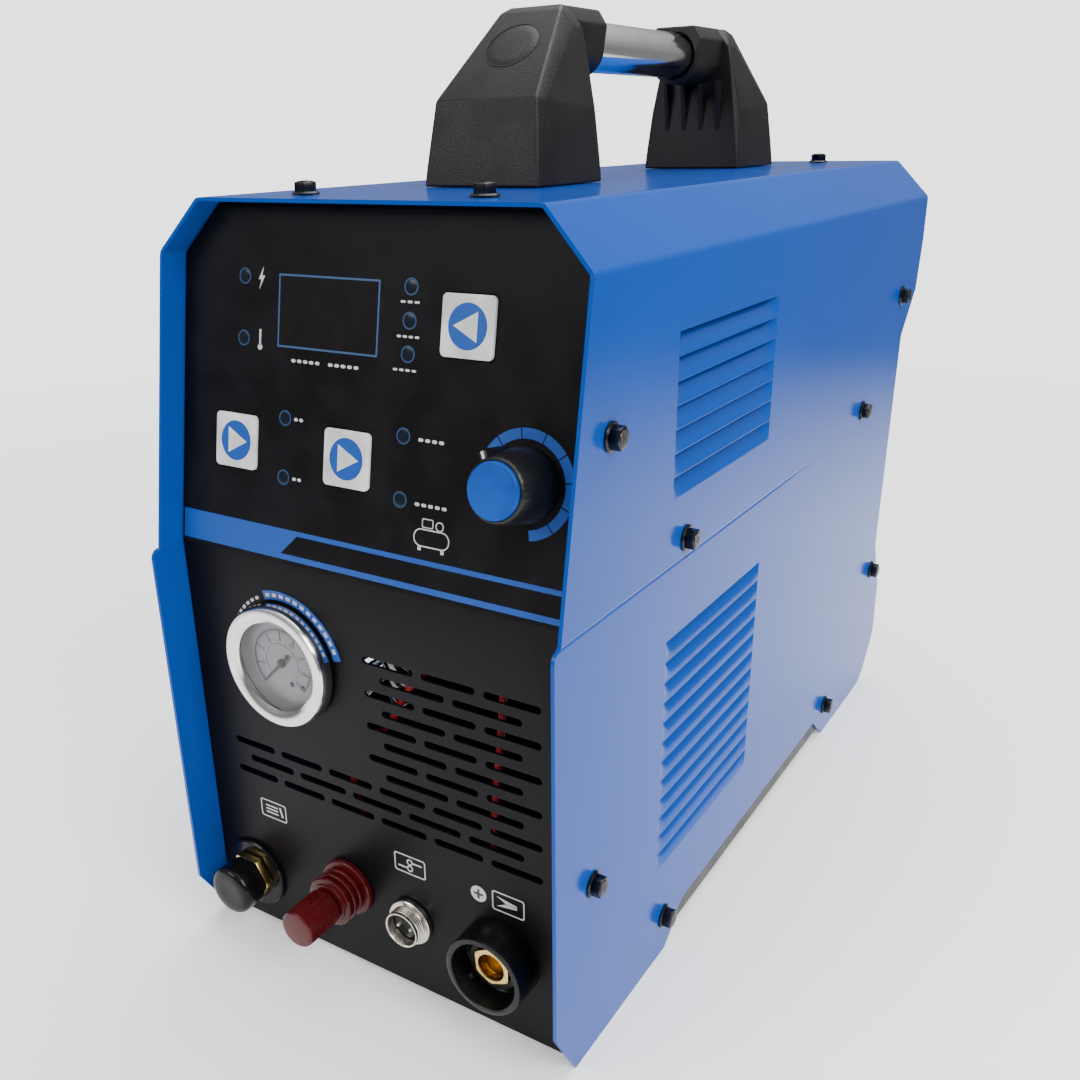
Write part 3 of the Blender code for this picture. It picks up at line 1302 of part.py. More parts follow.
# ---- Power parts, above the deck ----
def build_power_parts(case, metal, board, ferrite):
    floor = DECK_HEIGHT + SHEET + FIT
    step = (SINK_WIDTH - SINK_FIN_THICKNESS) / (SINK_FINS - 1)
    outline = [(-SINK_WIDTH / 2, 0.0)]
    for fin in range(SINK_FINS):
        left = -SINK_WIDTH / 2 + fin * step
        right = left + SINK_FIN_THICKNESS
        top = SINK_BASE + SINK_FIN_HEIGHT
        outline += [(left, SINK_BASE), (left, top), (right, top), (right, SINK_BASE)]
    outline.pop(1)
    outline.pop()
    outline.append((SINK_WIDTH / 2, 0.0))
    sink = prism(outline, 0.0, SINK_LENGTH)
    solid("heat_sink", sink, metal, case, (SINK_X, SINK_START, floor))
    sheet = block((0.0, 0.0, 0.0), (BOARD_THICKNESS, BOARD_LENGTH, BOARD_RISE))
    power = solid("power_board", sheet, board, case, (BOARD_X, BOARD_START, floor))
    for index in range(2):
        can = turned([(CAN_RADIUS, -BOARD_THICKNESS / 2), (CAN_RADIUS, CAN_LENGTH)], "-X", 20)
        can_place = (0.0, BOARD_LENGTH * (0.25 + 0.35 * index), BOARD_RISE - CAN_RADIUS - 0.004)
        join(power, tool(can, power, can_place))
    relay = block((-0.018, BOARD_LENGTH - 0.040, 0.012), (BOARD_THICKNESS / 2, BOARD_LENGTH - 0.012, 0.034))
    join(power, tool(relay, power))
    core_block = block((-CORE_WIDTH / 2, 0.0, 0.0), (CORE_WIDTH / 2, CORE_LENGTH * 0.6, CORE_HEIGHT))
    core = solid("transformer", core_block, ferrite, case, (CORE_X, CORE_START, floor))
    low = (CORE_HEIGHT - WINDING_HEIGHT) / 2
    coil = turned([(WINDING_RADIUS, low), (WINDING_RADIUS, low + WINDING_HEIGHT)], "Z", 28)
    join(core, tool(coil, core, (0.0, CORE_LENGTH * 0.3, 0.0)))


def build_unit():
    blue = finish("blue_paint", (0.010, 0.110, 0.560), 0.18)
    black_paint = finish("black_powder_coat", (0.012, 0.012, 0.014), 0.45)
    zinc = finish("zinc_sheet", (0.38, 0.39, 0.40), 0.38, 0.9)
    plastic = finish("black_plastic", (0.020, 0.020, 0.022), 0.45)
    rubber = finish("black_rubber", (0.012, 0.012, 0.013), 0.30)
    film = finish("printed_film", (0.014, 0.014, 0.017), 0.35)
    white = finish("white_key", (0.80, 0.80, 0.80), 0.35)
    smoked = finish("smoked_window", (0.010, 0.011, 0.014), 0.08)
    green = finish("circuit_board", (0.010, 0.120, 0.040), 0.40)
    black_oxide = finish("black_oxide_steel", (0.015, 0.015, 0.016), 0.30, 0.8)
    polished = finish("polished_aluminium", (0.80, 0.81, 0.83), 0.10, 1.0)
    chrome = finish("bright_plate", (0.72, 0.72, 0.73), 0.12, 1.0)
    nickel = finish("nickel_plate", (0.60, 0.58, 0.53), 0.22, 1.0)
    brass = finish("brass", (0.70, 0.47, 0.16), 0.22, 1.0)
    red = finish("red_plastic", (0.230, 0.010, 0.012), 0.28)
    knob_blue = finish("blue_plastic", (0.010, 0.160, 0.620), 0.35)
    silver = finish("silver_dial", (0.62, 0.62, 0.60), 0.40, 0.4)
    glass = finish("clear_lens", (0.90, 0.92, 0.94), 0.03, 0.0, 0.35)
    casting = finish("cast_aluminium", (0.45, 0.45, 0.46), 0.45, 0.8)
    bowl = finish("grey_plastic", (0.20, 0.21, 0.23), 0.40)
    ferrite = finish("ferrite", (0.050, 0.050, 0.055), 0.60)

    case = empty("casing_front", None, (0.0, -unit_middle(), 0.0))
    fold = (0.0, panel_y(FOLD_HEIGHT), FOLD_HEIGHT)
    upper = empty("upper_face", case, fold, (-math.atan(HOOD_LEAN), 0.0, 0.0))
    lower = empty("lower_face", case, fold, (math.atan(LOWER_LEAN), 0.0, 0.0))

    build_cover(case, blue)
    build_pan(case, zinc)
    build_deck(case, zinc)
    build_screws(case, black_oxide)
    build_handle(case, plastic, polished)
    build_front_panel(case, upper, lower, black_paint)
    build_fascia(upper, film)
    build_keys(upper, white)
    build_display(upper, smoked, plastic)
    build_control_board(upper, green)
    build_current_knob(upper, plastic, knob_blue, nickel)
    build_gauge(lower, chrome, silver, plastic, glass)
    build_torch_outlet(lower, rubber, brass)
    build_pilot_post(lower, red, red)
    build_control_socket(lower, nickel, plastic)
    build_work_socket(lower, plastic, brass)
    build_rear_panel(case, black_paint)
    build_fan(case, plastic, plastic)
    build_switch(case, plastic, plastic)
    build_rear_fittings(case, plastic, brass)
    build_compressor(case, black_oxide, casting, bowl)
    build_air_parts(case, casting, bowl, brass)
    build_power_parts(case, polished, green, ferrite)


clear_scene()
build_unit()
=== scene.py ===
"""Fine pieces, finishes and studio for a portable plasma cutter with a built-in air compressor.

Everything is in metres: X to the right of someone facing the controls, Y from front to back, Z up.
Pieces that belong to one of the two front faces are drawn in that face's own frame, with X to the
right, Y up the face and Z out of it, and are then laid in place.
"""

from __future__ import annotations

import functools
import logging
import math
from dataclasses import dataclass
from enum import Enum
from typing import Any, Callable, Iterable, Sequence

import bmesh
import bpy
from mathutils import Matrix, Vector

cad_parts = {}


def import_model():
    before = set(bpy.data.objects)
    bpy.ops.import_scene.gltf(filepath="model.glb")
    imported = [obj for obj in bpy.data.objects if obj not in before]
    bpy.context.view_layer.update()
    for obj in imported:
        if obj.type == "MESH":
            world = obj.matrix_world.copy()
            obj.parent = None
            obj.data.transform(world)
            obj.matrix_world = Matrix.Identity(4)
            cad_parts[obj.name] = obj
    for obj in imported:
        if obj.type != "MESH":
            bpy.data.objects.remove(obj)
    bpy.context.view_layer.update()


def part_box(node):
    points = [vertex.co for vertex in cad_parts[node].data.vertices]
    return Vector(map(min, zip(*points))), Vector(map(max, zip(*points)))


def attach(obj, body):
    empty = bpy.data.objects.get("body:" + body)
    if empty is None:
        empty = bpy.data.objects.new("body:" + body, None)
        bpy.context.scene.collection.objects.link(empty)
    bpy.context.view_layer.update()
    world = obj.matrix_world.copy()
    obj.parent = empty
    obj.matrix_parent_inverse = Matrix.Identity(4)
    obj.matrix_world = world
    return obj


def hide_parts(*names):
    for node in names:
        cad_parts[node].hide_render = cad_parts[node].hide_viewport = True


log = logging.getLogger("plasma_cutter")

Point = tuple[float, float]
Colour = tuple[float, float, float]

CASING = "casing"
SMOOTH_ANGLE = math.radians(34)


# ---------------------------------------------------------------- shader building


class Value:
    """A shader socket that takes part in arithmetic."""

    def __init__(self, graph: "Graph", socket: bpy.types.NodeSocket) -> None:
        """Wraps a socket.

        Args:
            graph: The graph that adds the nodes.
            socket: The output socket that is wrapped.
        """
        self.graph = graph
        self.socket = socket

    def _join(self, operation: str, first: Any, second: Any) -> "Value":
        """Adds one Math node.

        Args:
            operation: The Math node's operation.
            first: The first operand.
            second: The second operand.

        Returns:
            The result.
        """
        return self.graph.node("ShaderNodeMath", {"operation": operation}, {0: first, 1: second})

    def __add__(self, other: Any) -> "Value":
        """Sum."""
        return self._join("ADD", self, other)

    __radd__ = __add__

    def __mul__(self, other: Any) -> "Value":
        """Product."""
        return self._join("MULTIPLY", self, other)

    __rmul__ = __mul__

    def __sub__(self, other: Any) -> "Value":
        """Difference."""
        return self._join("SUBTRACT", self, other)

    def __rsub__(self, other: Any) -> "Value":
        """Reflected difference."""
        return self._join("SUBTRACT", other, self)

    def __truediv__(self, other: Any) -> "Value":
        """Quotient."""
        return self._join("DIVIDE", self, other)

    def __rtruediv__(self, other: Any) -> "Value":
        """Reflected quotient."""
        return self._join("DIVIDE", other, self)


class Graph:
    """A node tree that nodes are added to."""

    def __init__(self, tree: bpy.types.NodeTree) -> None:
        """Wraps a material's or a world's tree."""
        self.tree = tree

    def node(self, kind: str, settings: dict[str, Any] | None = None, sockets: dict[Any, Any] | None = None,
             output: Any = 0) -> Value:
        """Adds a node.

        Args:
            kind: The node's type.
            settings: Attributes that are set first. "stops" holds a ramp's (place, grey) pairs.
            sockets: Values or links for its input sockets.
            output: The output socket to hand back.

        Returns:
            The chosen output.
        """
        made = self.tree.nodes.new(kind)
        for key, value in (settings or {}).items():
            if key == "stops":
                ramp = made.color_ramp
                while len(ramp.elements) < len(value):
                    ramp.elements.new(0.5)
                for element, (place, grey) in zip(ramp.elements, value):
                    element.position = place
                    element.color = (grey, grey, grey, 1.0)
            else:
                setattr(made, key, value)
        for key, value in (sockets or {}).items():
            self.feed(made.inputs[key], value)
        return Value(self, made.outputs[output])

    def feed(self, socket: bpy.types.NodeSocket, value: Any) -> None:
        """Links or sets one input socket.

        Args:
            socket: The input.
            value: A wrapped output, a number, or a tuple of numbers.
        """
        if isinstance(value, Value):
            self.tree.links.new(value.socket, socket)
        else:
            socket.default_value = value

    def place(self, centre: Sequence[float] = (0, 0, 0), scale: Sequence[float] = (1, 1, 1)) -> Value:
        """Object coordinates, centred and scaled.

        Args:
            centre: The point that becomes the origin.
            scale: The factor along each axis.

        Returns:
            The coordinates.
        """
        raw = self.node("ShaderNodeTexCoord", output="Object")
        moved = self.node("ShaderNodeVectorMath", {"operation": "SUBTRACT"}, {0: raw, 1: tuple(centre)})
        return self.node("ShaderNodeVectorMath", {"operation": "MULTIPLY"}, {0: moved, 1: tuple(scale)})

    def noise(self, where: Value, scale: float, detail: float = 2.0) -> Value:
        """Noise from 0 to 1.

        Args:
            where: The coordinates.
            scale: Cells for each metre.
            detail: Octaves.

        Returns:
            The noise.
        """
        sockets = {"Vector": where, "Scale": scale, "Detail": detail}
        return self.node("ShaderNodeTexNoise", None, sockets)

    def ramp(self, value: Value, *stops: tuple[float, float]) -> Value:
        """A grey ramp through the stops."""
        return self.node("ShaderNodeValToRGB", {"stops": stops}, {0: value})

    def blend(self, factor: Any, first: Any, second: Any) -> Value:
        """A colour between two colours."""
        sockets = {0: factor, 6: first, 7: second}
        return self.node("ShaderNodeMix", {"data_type": "RGBA"}, sockets, 2)


class Book(Graph):
    """One material with its node tree and its main shader."""

    def __init__(self, name: str) -> None:
        """Starts a material of this name."""
        self.material = bpy.data.materials.new(name)
        self.material.use_nodes = True
        super().__init__(self.material.node_tree)
        self.shader = self.tree.nodes["Principled BSDF"]

    def set(self, **constants: Any) -> None:
        """Sets or links the main shader's sockets, with spaces written as underscores."""
        for key, value in constants.items():
            self.feed(self.shader.inputs[key.replace("_", " ")], value)

    def tinted(self, factor: Any, colour: Colour, other: Colour) -> None:
        """Sets the base colour to a mix of two colours."""
        self.set(Base_Color=self.blend(factor, (*colour, 1.0), (*other, 1.0)))

    def bump(self, height: Value, depth: float, strength: float = 1.0) -> None:
        """Feeds the normal from a height.

        Args:
            height: The height, 0 to 1.
            depth: What 1 stands for, in metres.
            strength: The share of the effect.
        """
        sockets = {"Height": height, "Distance": depth, "Strength": strength}
        self.set(Normal=self.node("ShaderNodeBump", None, sockets))


def shade(colour: Colour, factor: float) -> Colour:
    """A lighter or darker version of a colour."""
    return (colour[0] * factor, colour[1] * factor, colour[2] * factor)


@dataclass(frozen=True)
class GlossPaint:
    """Sprayed gloss paint with a faint orange peel."""

    name: str
    colour: Colour
    roughness: float = 0.13
    peel: float = 420.0
    shine: float = 0.15

    def material(self) -> bpy.types.Material:
        """Builds the material."""
        book = Book(self.name)
        where = book.place()
        broad = book.ramp(book.noise(where, 7.0, 3.0), (0.3, 0.0), (0.7, 1.0))
        book.tinted(broad, shade(self.colour, 0.94), shade(self.colour, 1.05))
        dust = book.noise(where, 1400.0, 2.0)
        book.set(Roughness=dust * 0.05 + broad * 0.03 + self.roughness, Specular_IOR_Level=self.shine)
        book.bump(book.noise(where, self.peel, 1.0), 0.00004, 0.55)
        return book.material


@dataclass(frozen=True)
class PowderCoat:
    """Satin powder coat with a fine grain."""

    name: str
    colour: Colour
    roughness: float = 0.42
    grain: float = 2600.0

    def material(self) -> bpy.types.Material:
        """Builds the material."""
        book = Book(self.name)
        where = book.place()
        grain = book.noise(where, self.grain, 2.0)
        broad = book.noise(where, 9.0, 3.0)
        book.tinted(broad, shade(self.colour, 0.85), shade(self.colour, 1.2))
        book.set(Roughness=grain * 0.12 + broad * 0.08 + (self.roughness - 0.08), Specular_IOR_Level=0.12)
        book.bump(grain, 0.00005, 0.5)
        return book.material


@dataclass(frozen=True)
class Moulding:
    """Moulded plastic or rubber with a fine surface texture and handling marks."""

    name: str
    colour: Colour
    roughness: float = 0.45
    grain: float = 1900.0
    depth: float = 0.00006
    shine: float = 0.4
    coat: float = 0.0

    def material(self) -> bpy.types.Material:
        """Builds the material."""
        book = Book(self.name)
        where = book.place()
        grain = book.node("ShaderNodeTexVoronoi", None, {"Vector": where, "Scale": self.grain})
        marks = book.ramp(book.noise(where, 55.0, 5.0), (0.42, 0.0), (0.62, 1.0))
        book.tinted(marks, shade(self.colour, 0.88), shade(self.colour, 1.22))
        book.set(Roughness=marks * 0.10 + grain * 0.08 + (self.roughness - 0.07))
        book.set(Coat_Weight=self.coat, Specular_IOR_Level=self.shine)
        book.bump(grain, self.depth, 0.6)
        return book.material


@dataclass(frozen=True)
class BareMetal:
    """Metal with fine tool marks that run along one axis, and faint smudges."""

    name: str
    colour: Colour
    roughness: float = 0.2
    stretch: tuple[float, float, float] = (1.0, 1.0, 1.0)
    lines: float = 900.0
    depth: float = 0.000012

    def material(self) -> bpy.types.Material:
        """Builds the material."""
        book = Book(self.name)
        where = book.place(scale=self.stretch)
        lines = book.noise(where, self.lines, 3.0)
        smudge = book.ramp(book.noise(book.place(), 70.0, 4.0), (0.45, 0.0), (0.75, 1.0))
        book.tinted(smudge, self.colour, shade(self.colour, 0.86))
        book.set(Roughness=lines * 0.10 + smudge * 0.10 + (self.roughness - 0.05), Metallic=1.0)
        book.bump(lines, self.depth, 0.5)
        return book.material


@dataclass(frozen=True)
class TurnedMetal:
    """Turned metal, with rings round an axis that points out of a face."""

    name: str
    colour: Colour
    centre: tuple[float, float, float]
    roughness: float = 0.2
    rings: float = 1500.0

    def material(self) -> bpy.types.Material:
        """Builds the material."""
        book = Book(self.name)
        where = book.place(self.centre, (1.0, 0.0, 1.0))
        radius = book.node("ShaderNodeVectorMath", {"operation": "LENGTH"}, {0: where}, "Value")
        rings = book.node("ShaderNodeMath", {"operation": "SINE"}, {0: radius * self.rings * math.tau / 3.0})
        fine = book.noise(book.place(), 500.0, 3.0)
        book.tinted(fine, shade(self.colour, 0.88), shade(self.colour, 1.08))
        book.set(Roughness=rings * 0.03 + fine * 0.10 + (self.roughness - 0.02), Metallic=1.0)
        book.bump(rings * 0.5 + fine * 0.3, 0.000012, 0.5)
        return book.material


@dataclass(frozen=True)
class PrintedInk:
    """Screen-printed ink with a slightly uneven coverage."""

    name: str
    colour: Colour
    roughness: float = 0.38

    def material(self) -> bpy.types.Material:
        """Builds the material."""
        book = Book(self.name)
        where = book.place()
        cover = book.noise(where, 1800.0, 2.0)
        book.tinted(cover, shade(self.colour, 0.88), shade(self.colour, 1.08))
        book.set(Roughness=cover * 0.1 + (self.roughness - 0.05))
        book.bump(cover, 0.00001, 0.4)
        return book.material


@dataclass(frozen=True)
class SmokedPane:
    """A glossy dark window with a faint haze."""

    name: str
    colour: Colour

    def material(self) -> bpy.types.Material:
        """Builds the material."""
        book = Book(self.name)
        haze = book.noise(book.place(), 120.0, 4.0)
        book.tinted(haze, shade(self.colour, 0.8), shade(self.colour, 1.5))
        book.set(Roughness=haze * 0.12 + 0.10, Specular_IOR_Level=0.25)
        return book.material


@dataclass(frozen=True)
class ClearPane:
    """A thin clear lens."""

    name: str
    alpha: float = 0.03

    def material(self) -> bpy.types.Material:
        """Builds the material."""
        book = Book(self.name)
        haze = book.noise(book.place(), 160.0, 3.0)
        book.tinted(haze, (0.85, 0.88, 0.90), (0.95, 0.97, 1.0))
        book.set(Roughness=haze * 0.03 + 0.02, Alpha=haze * 0.02 + self.alpha, Specular_IOR_Level=0.7)
        book.material.surface_render_method = "BLENDED"
        return book.material


@dataclass(frozen=True)
class CircuitBoard:
    """Solder mask over copper tracks."""

    name: str
    colour: Colour

    def material(self) -> bpy.types.Material:
        """Builds the material."""
        book = Book(self.name)
        sockets = {"Vector": book.place(), "Scale": 260.0, "Randomness": 0.8}
        tracks = book.node("ShaderNodeTexVoronoi", {"distance": "CHEBYCHEV"}, sockets)
        edge = book.ramp(tracks, (0.30, 0.0), (0.36, 1.0))
        book.tinted(edge, shade(self.colour, 0.7), shade(self.colour, 1.8))
        book.set(Roughness=edge * 0.1 + 0.32)
        book.bump(edge, 0.00003, 0.6)
        return book.material


@dataclass(frozen=True)
class StripedSleeve:
    """A braided sleeve with dark and light bands that run round it; on the air hose the light bands are painted glints.
    """

    name: str
    light: Colour
    dark: Colour
    bands: float = 120.0

    def material(self) -> bpy.types.Material:
        """Builds the material."""
        book = Book(self.name)
        sockets = {"Vector": book.place(scale=(1.0, 0.3, 0.7)), "Scale": self.bands, "Distortion": 0.4}
        wave = book.node("ShaderNodeTexWave", {"bands_direction": "DIAGONAL"}, sockets)
        band = book.ramp(wave, (0.45, 0.0), (0.55, 1.0))
        book.tinted(band, self.dark, self.light)
        book.set(Roughness=band * 0.1 + 0.25)
        book.bump(wave, 0.0002, 0.5)
        return book.material


@dataclass(frozen=True)
class BrushedDial:
    """Silver dial stock with a fine straight brushing."""

    name: str
    colour: Colour

    def material(self) -> bpy.types.Material:
        """Builds the material."""
        book = Book(self.name)
        lines = book.noise(book.place(scale=(0.08, 1.0, 1.0)), 2400.0, 2.0)
        book.tinted(lines, shade(self.colour, 0.9), shade(self.colour, 1.08))
        book.set(Roughness=lines * 0.12 + 0.32, Metallic=lines * 0.1 + 0.35)
        book.bump(lines, 0.00001, 0.4)
        return book.material


class Finish(Enum):
    """The finishes of the unit, each built once."""

    BLUE = GlossPaint("royal_blue_gloss", (0.0018, 0.058, 0.340))
    PANEL = PowderCoat("black_satin_panel", (0.0038, 0.0034, 0.0044), 0.36)
    FILM = Moulding("black_printed_film", (0.0040, 0.0036, 0.0052), 0.36, 2600.0, 0.00002, 0.14)
    HANDLE = Moulding("black_grip_plastic", (0.0105, 0.0088, 0.0080), 0.44, 1500.0, 0.00010, 0.26)
    BLACK = Moulding("black_fitting_plastic", (0.0040, 0.0040, 0.0045), 0.28, 2400.0, 0.00003, 0.30)
    RUBBER = Moulding("black_rubber_cap", (0.0035, 0.0035, 0.0040), 0.22, 2400.0, 0.00002, 0.10, 0.22)
    KNOB = Moulding("black_knob", (0.0045, 0.0045, 0.0050), 0.40, 2400.0, 0.00003, 0.35)
    CAP = Moulding("blue_knob_cap", (0.0022, 0.058, 0.330), 0.42, 2000.0, 0.00004, 0.2)
    RED = Moulding("deep_red_moulding", (0.060, 0.0030, 0.0042), 0.26, 1700.0, 0.00004, 0.24, 0.1)
    KEY = Moulding("white_key_plastic", (0.66, 0.66, 0.66), 0.35, 2600.0, 0.00002)
    WIRE = Moulding("red_wire_sleeve", (0.40, 0.007, 0.014), 0.35, 2600.0, 0.00002)
    # The hose sleeve's light bands are painted glints: white stripes over dark bands stand in for highlights seen
    # through the vents.
    SLEEVE = StripedSleeve("hose_sleeve_painted_glints", (0.85, 0.85, 0.88), (0.010, 0.010, 0.012))
    TUBE = BareMetal("polished_aluminium_tube", (0.93, 0.935, 0.94), 0.10, (1.0, 0.05, 1.0), 1500.0)
    SCREW = BareMetal("black_oxide_screw", (0.035, 0.035, 0.040), 0.26)
    # Painted shade: the base pan's sheet colour is darkened to stand in for the shadow under the casing's arch.
    PAN = BareMetal("pan_sheet_painted_shade", (0.075, 0.072, 0.070), 0.45, (1.0, 0.2, 1.0), 300.0)
    ZINC = BareMetal("zinc_plated_sheet", (0.42, 0.43, 0.44), 0.36, (1.0, 0.2, 1.0), 300.0)
    ALUMINIUM = BareMetal("milled_aluminium", (0.62, 0.63, 0.65), 0.30, (1.0, 0.1, 1.0), 700.0)
    CAST = BareMetal("cast_aluminium", (0.42, 0.42, 0.43), 0.48, (1.0, 1.0, 1.0), 350.0, 0.00008)
    STEEL_BLACK = BareMetal("dark_motor_shell", (0.05, 0.05, 0.055), 0.35)
    BRASS = BareMetal("machined_brass", (0.68, 0.43, 0.12), 0.20)
    FERRITE = Moulding("ferrite_core", (0.045, 0.045, 0.05), 0.55, 900.0, 0.0001)
    COPPER = StripedSleeve("copper_winding", (0.55, 0.24, 0.10), (0.25, 0.09, 0.04), 260.0)
    BOARD = CircuitBoard("green_circuit_board", (0.006, 0.085, 0.030))
    GREY = Moulding("grey_fitting_plastic", (0.16, 0.17, 0.18), 0.42)
    DISPLAY = SmokedPane("smoked_display_pane", (0.0075, 0.0066, 0.0066))
    LENS = ClearPane("clear_gauge_lens")
    DIAL = BrushedDial("silver_dial_face", (0.185, 0.190, 0.200))
    INK_BLUE = PrintedInk("blue_print", (0.003, 0.068, 0.350))
    INK_RING = PrintedInk("dim_blue_print", (0.012, 0.048, 0.125))
    INK_FRAME = PrintedInk("slate_blue_print", (0.030, 0.085, 0.200))
    INK_WHITE = PrintedInk("white_print", (0.55, 0.55, 0.56))
    INK_DARK = PrintedInk("dark_print", (0.010, 0.010, 0.012))
    LAMP = SmokedPane("unlit_lamp_lens", (0.006, 0.009, 0.016))

    def get(self) -> bpy.types.Material:
        """The finish's material, built when first asked for."""
        return bpy.data.materials.get(self.value.name) or self.value.material()


# ---------------------------------------------------------------- mesh building


class Shape:
    """A mesh in the making."""

    def __init__(self) -> None:
        """Starts empty."""
        self.mesh = bmesh.new()

    @classmethod
    def turned(cls, profile: Sequence[Point], steps: int = 64, ring: bool = False) -> "Shape":
        """Spins a profile about Z.

        Args:
            profile: (radius, height) points.
            steps: Segments of the full turn.
            ring: True if the last point joins the first.

        Returns:
            The closed solid.
        """
        shape = cls()
        mesh = shape.mesh
        verts = [mesh.verts.new((radius, 0.0, height)) for radius, height in profile]
        ends = zip(verts, verts[1:] + (verts[:1] if ring else []))
        edges = [mesh.edges.new(pair) for pair in ends]
        bmesh.ops.spin(mesh, geom=verts + edges, cent=(0, 0, 0), axis=(0, 0, 1), dvec=(0, 0, 0),
                       angle=math.tau, steps=steps, use_merge=True)
        return shape.clean()

    @classmethod
    def sheet(cls, outline: Sequence[Point], holes: Iterable[Sequence[Point]] = ()) -> "Shape":
        """A flat sheet at Z = 0 with holes.

        Args:
            outline: The (x, y) outline.
            holes: The holes' outlines.

        Returns:
            The open sheet, facing +Z.
        """
        shape = cls()
        mesh = shape.mesh
        edges = []
        for loop in (outline, *holes):
            verts = [mesh.verts.new((x, y, 0.0)) for x, y in loop]
            edges += [mesh.edges.new(pair) for pair in zip(verts, verts[1:] + verts[:1])]
        bmesh.ops.triangle_fill(mesh, use_beauty=True, use_dissolve=False, edges=edges, normal=(0, 0, 1))
        for face in mesh.faces:
            face.normal_update()
        flipped = [face for face in mesh.faces if face.normal.z < 0]
        bmesh.ops.reverse_faces(mesh, faces=flipped)
        return shape

    @classmethod
    def slab(cls, outline: Sequence[Point], low: float, high: float,
             holes: Iterable[Sequence[Point]] = ()) -> "Shape":
        """A prism between two heights.

        Args:
            outline: The (x, y) outline.
            low: The lower height.
            high: The upper height.
            holes: The holes' outlines.

        Returns:
            The closed prism.
        """
        shape = cls.sheet(outline, holes).move((0, 0, low))
        made = bmesh.ops.extrude_face_region(shape.mesh, geom=shape.mesh.faces[:])["geom"]
        verts = [item for item in made if isinstance(item, bmesh.types.BMVert)]
        bmesh.ops.translate(shape.mesh, verts=verts, vec=(0, 0, high - low))
        return shape.clean()

    @classmethod
    def block(cls, low: Sequence[float], high: Sequence[float]) -> "Shape":
        """A block between two corners."""
        shape = cls()
        bmesh.ops.create_cube(shape.mesh, size=1.0)
        size = [b - a for a, b in zip(low, high)]
        middle = [(a + b) / 2 for a, b in zip(low, high)]
        return shape.scale(size).move(middle)

    @classmethod
    def hull(cls, corners: Iterable[Sequence[float]]) -> "Shape":
        """The convex solid round some corners."""
        shape = cls()
        for corner in corners:
            shape.mesh.verts.new(corner)
        bmesh.ops.convex_hull(shape.mesh, input=shape.mesh.verts[:])
        bmesh.ops.dissolve_limit(shape.mesh, angle_limit=0.01, verts=shape.mesh.verts[:], edges=shape.mesh.edges[:])
        return shape.clean()

    @classmethod
    def pipe(cls, path: Sequence[Sequence[float]], radius: float, steps: int = 16) -> "Shape":
        """A round tube with closed ends along a smooth path.

        Args:
            path: Points of the path.
            radius: The tube's radius.
            steps: Segments of its section.

        Returns:
            The closed tube.
        """
        shape = cls()
        mesh = shape.mesh
        points = [Vector(point) for point in path]
        ring: list[Any] = []
        for index, point in enumerate(points):
            ahead = points[min(index + 1, len(points) - 1)] - points[max(index - 1, 0)]
            turn = Matrix.Translation(point) @ ahead.to_track_quat("Z", "Y").to_matrix().to_4x4()
            circle = bmesh.ops.create_circle(mesh, segments=steps, radius=radius,
                                             cap_ends=index in (0, len(points) - 1),
                                             matrix=turn)
            edges = [edge for edge in mesh.edges if edge.verts[0] in circle["verts"] and edge.verts[1] in circle["verts"]]
            if ring:
                bmesh.ops.bridge_loops(mesh, edges=ring + edges)
            ring = edges
        return shape.clean()

    def clean(self) -> "Shape":
        """Merges doubles and turns the faces outwards."""
        bmesh.ops.remove_doubles(self.mesh, verts=self.mesh.verts[:], dist=1e-7)
        bmesh.ops.recalc_face_normals(self.mesh, faces=self.mesh.faces[:])
        return self

    def bevel(self, width: float, segments: int = 2, angle: float = 28.0) -> "Shape":
        """Rounds the edges that are sharper than the angle, in degrees."""
        limit = math.radians(angle)
        edges = [edge for edge in self.mesh.edges if edge.is_manifold and edge.calc_face_angle(0.0) > limit]
        bmesh.ops.bevel(self.mesh, geom=edges, offset=width, offset_type="OFFSET", segments=segments,
                        profile=0.5, affect="EDGES", material=-1, clamp_overlap=True, loop_slide=True)
        return self

    def move(self, by: Sequence[float]) -> "Shape":
        """Moves the shape."""
        bmesh.ops.translate(self.mesh, verts=self.mesh.verts[:], vec=by)
        return self

    def scale(self, by: Sequence[float]) -> "Shape":
        """Scales the shape about the origin."""
        bmesh.ops.scale(self.mesh, verts=self.mesh.verts[:], vec=by)
        return self

    def lay(self, place: Matrix) -> "Shape":
        """Applies a placement."""
        bmesh.ops.transform(self.mesh, matrix=place, verts=self.mesh.verts[:])
        return self

    def bend(self, rule: Callable[[Vector], Vector]) -> "Shape":
        """Moves every point by a rule."""
        for vert in self.mesh.verts:
            vert.co = rule(vert.co)
        return self

    def cut(self, places: Iterable[float], axis: int) -> "Shape":
        """Adds edge lines across the shape at places along an axis."""
        for place in places:
            point = Vector((0, 0, 0))
            normal = Vector((0, 0, 0))
            point[axis] = place
            normal[axis] = 1.0
            geom = self.mesh.verts[:] + self.mesh.edges[:] + self.mesh.faces[:]
            bmesh.ops.bisect_plane(self.mesh, geom=geom, plane_co=point, plane_no=normal, dist=1e-7)
        return self

    def tidy(self) -> "Shape":
        """Joins the flat faces of a folded sheet and drops slivers."""
        bmesh.ops.dissolve_degenerate(self.mesh, dist=1e-6, edges=self.mesh.edges[:])
        bmesh.ops.dissolve_limit(self.mesh, angle_limit=0.004, verts=self.mesh.verts[:], edges=self.mesh.edges[:])
        return self

    def add(self, *others: "Shape") -> "Shape":
        """Adds other shapes as islands."""
        for other in others:
            data = bpy.data.meshes.new("joined")
            other.mesh.to_mesh(data)
            other.mesh.free()
            self.mesh.from_mesh(data)
            bpy.data.meshes.remove(data)
        return self

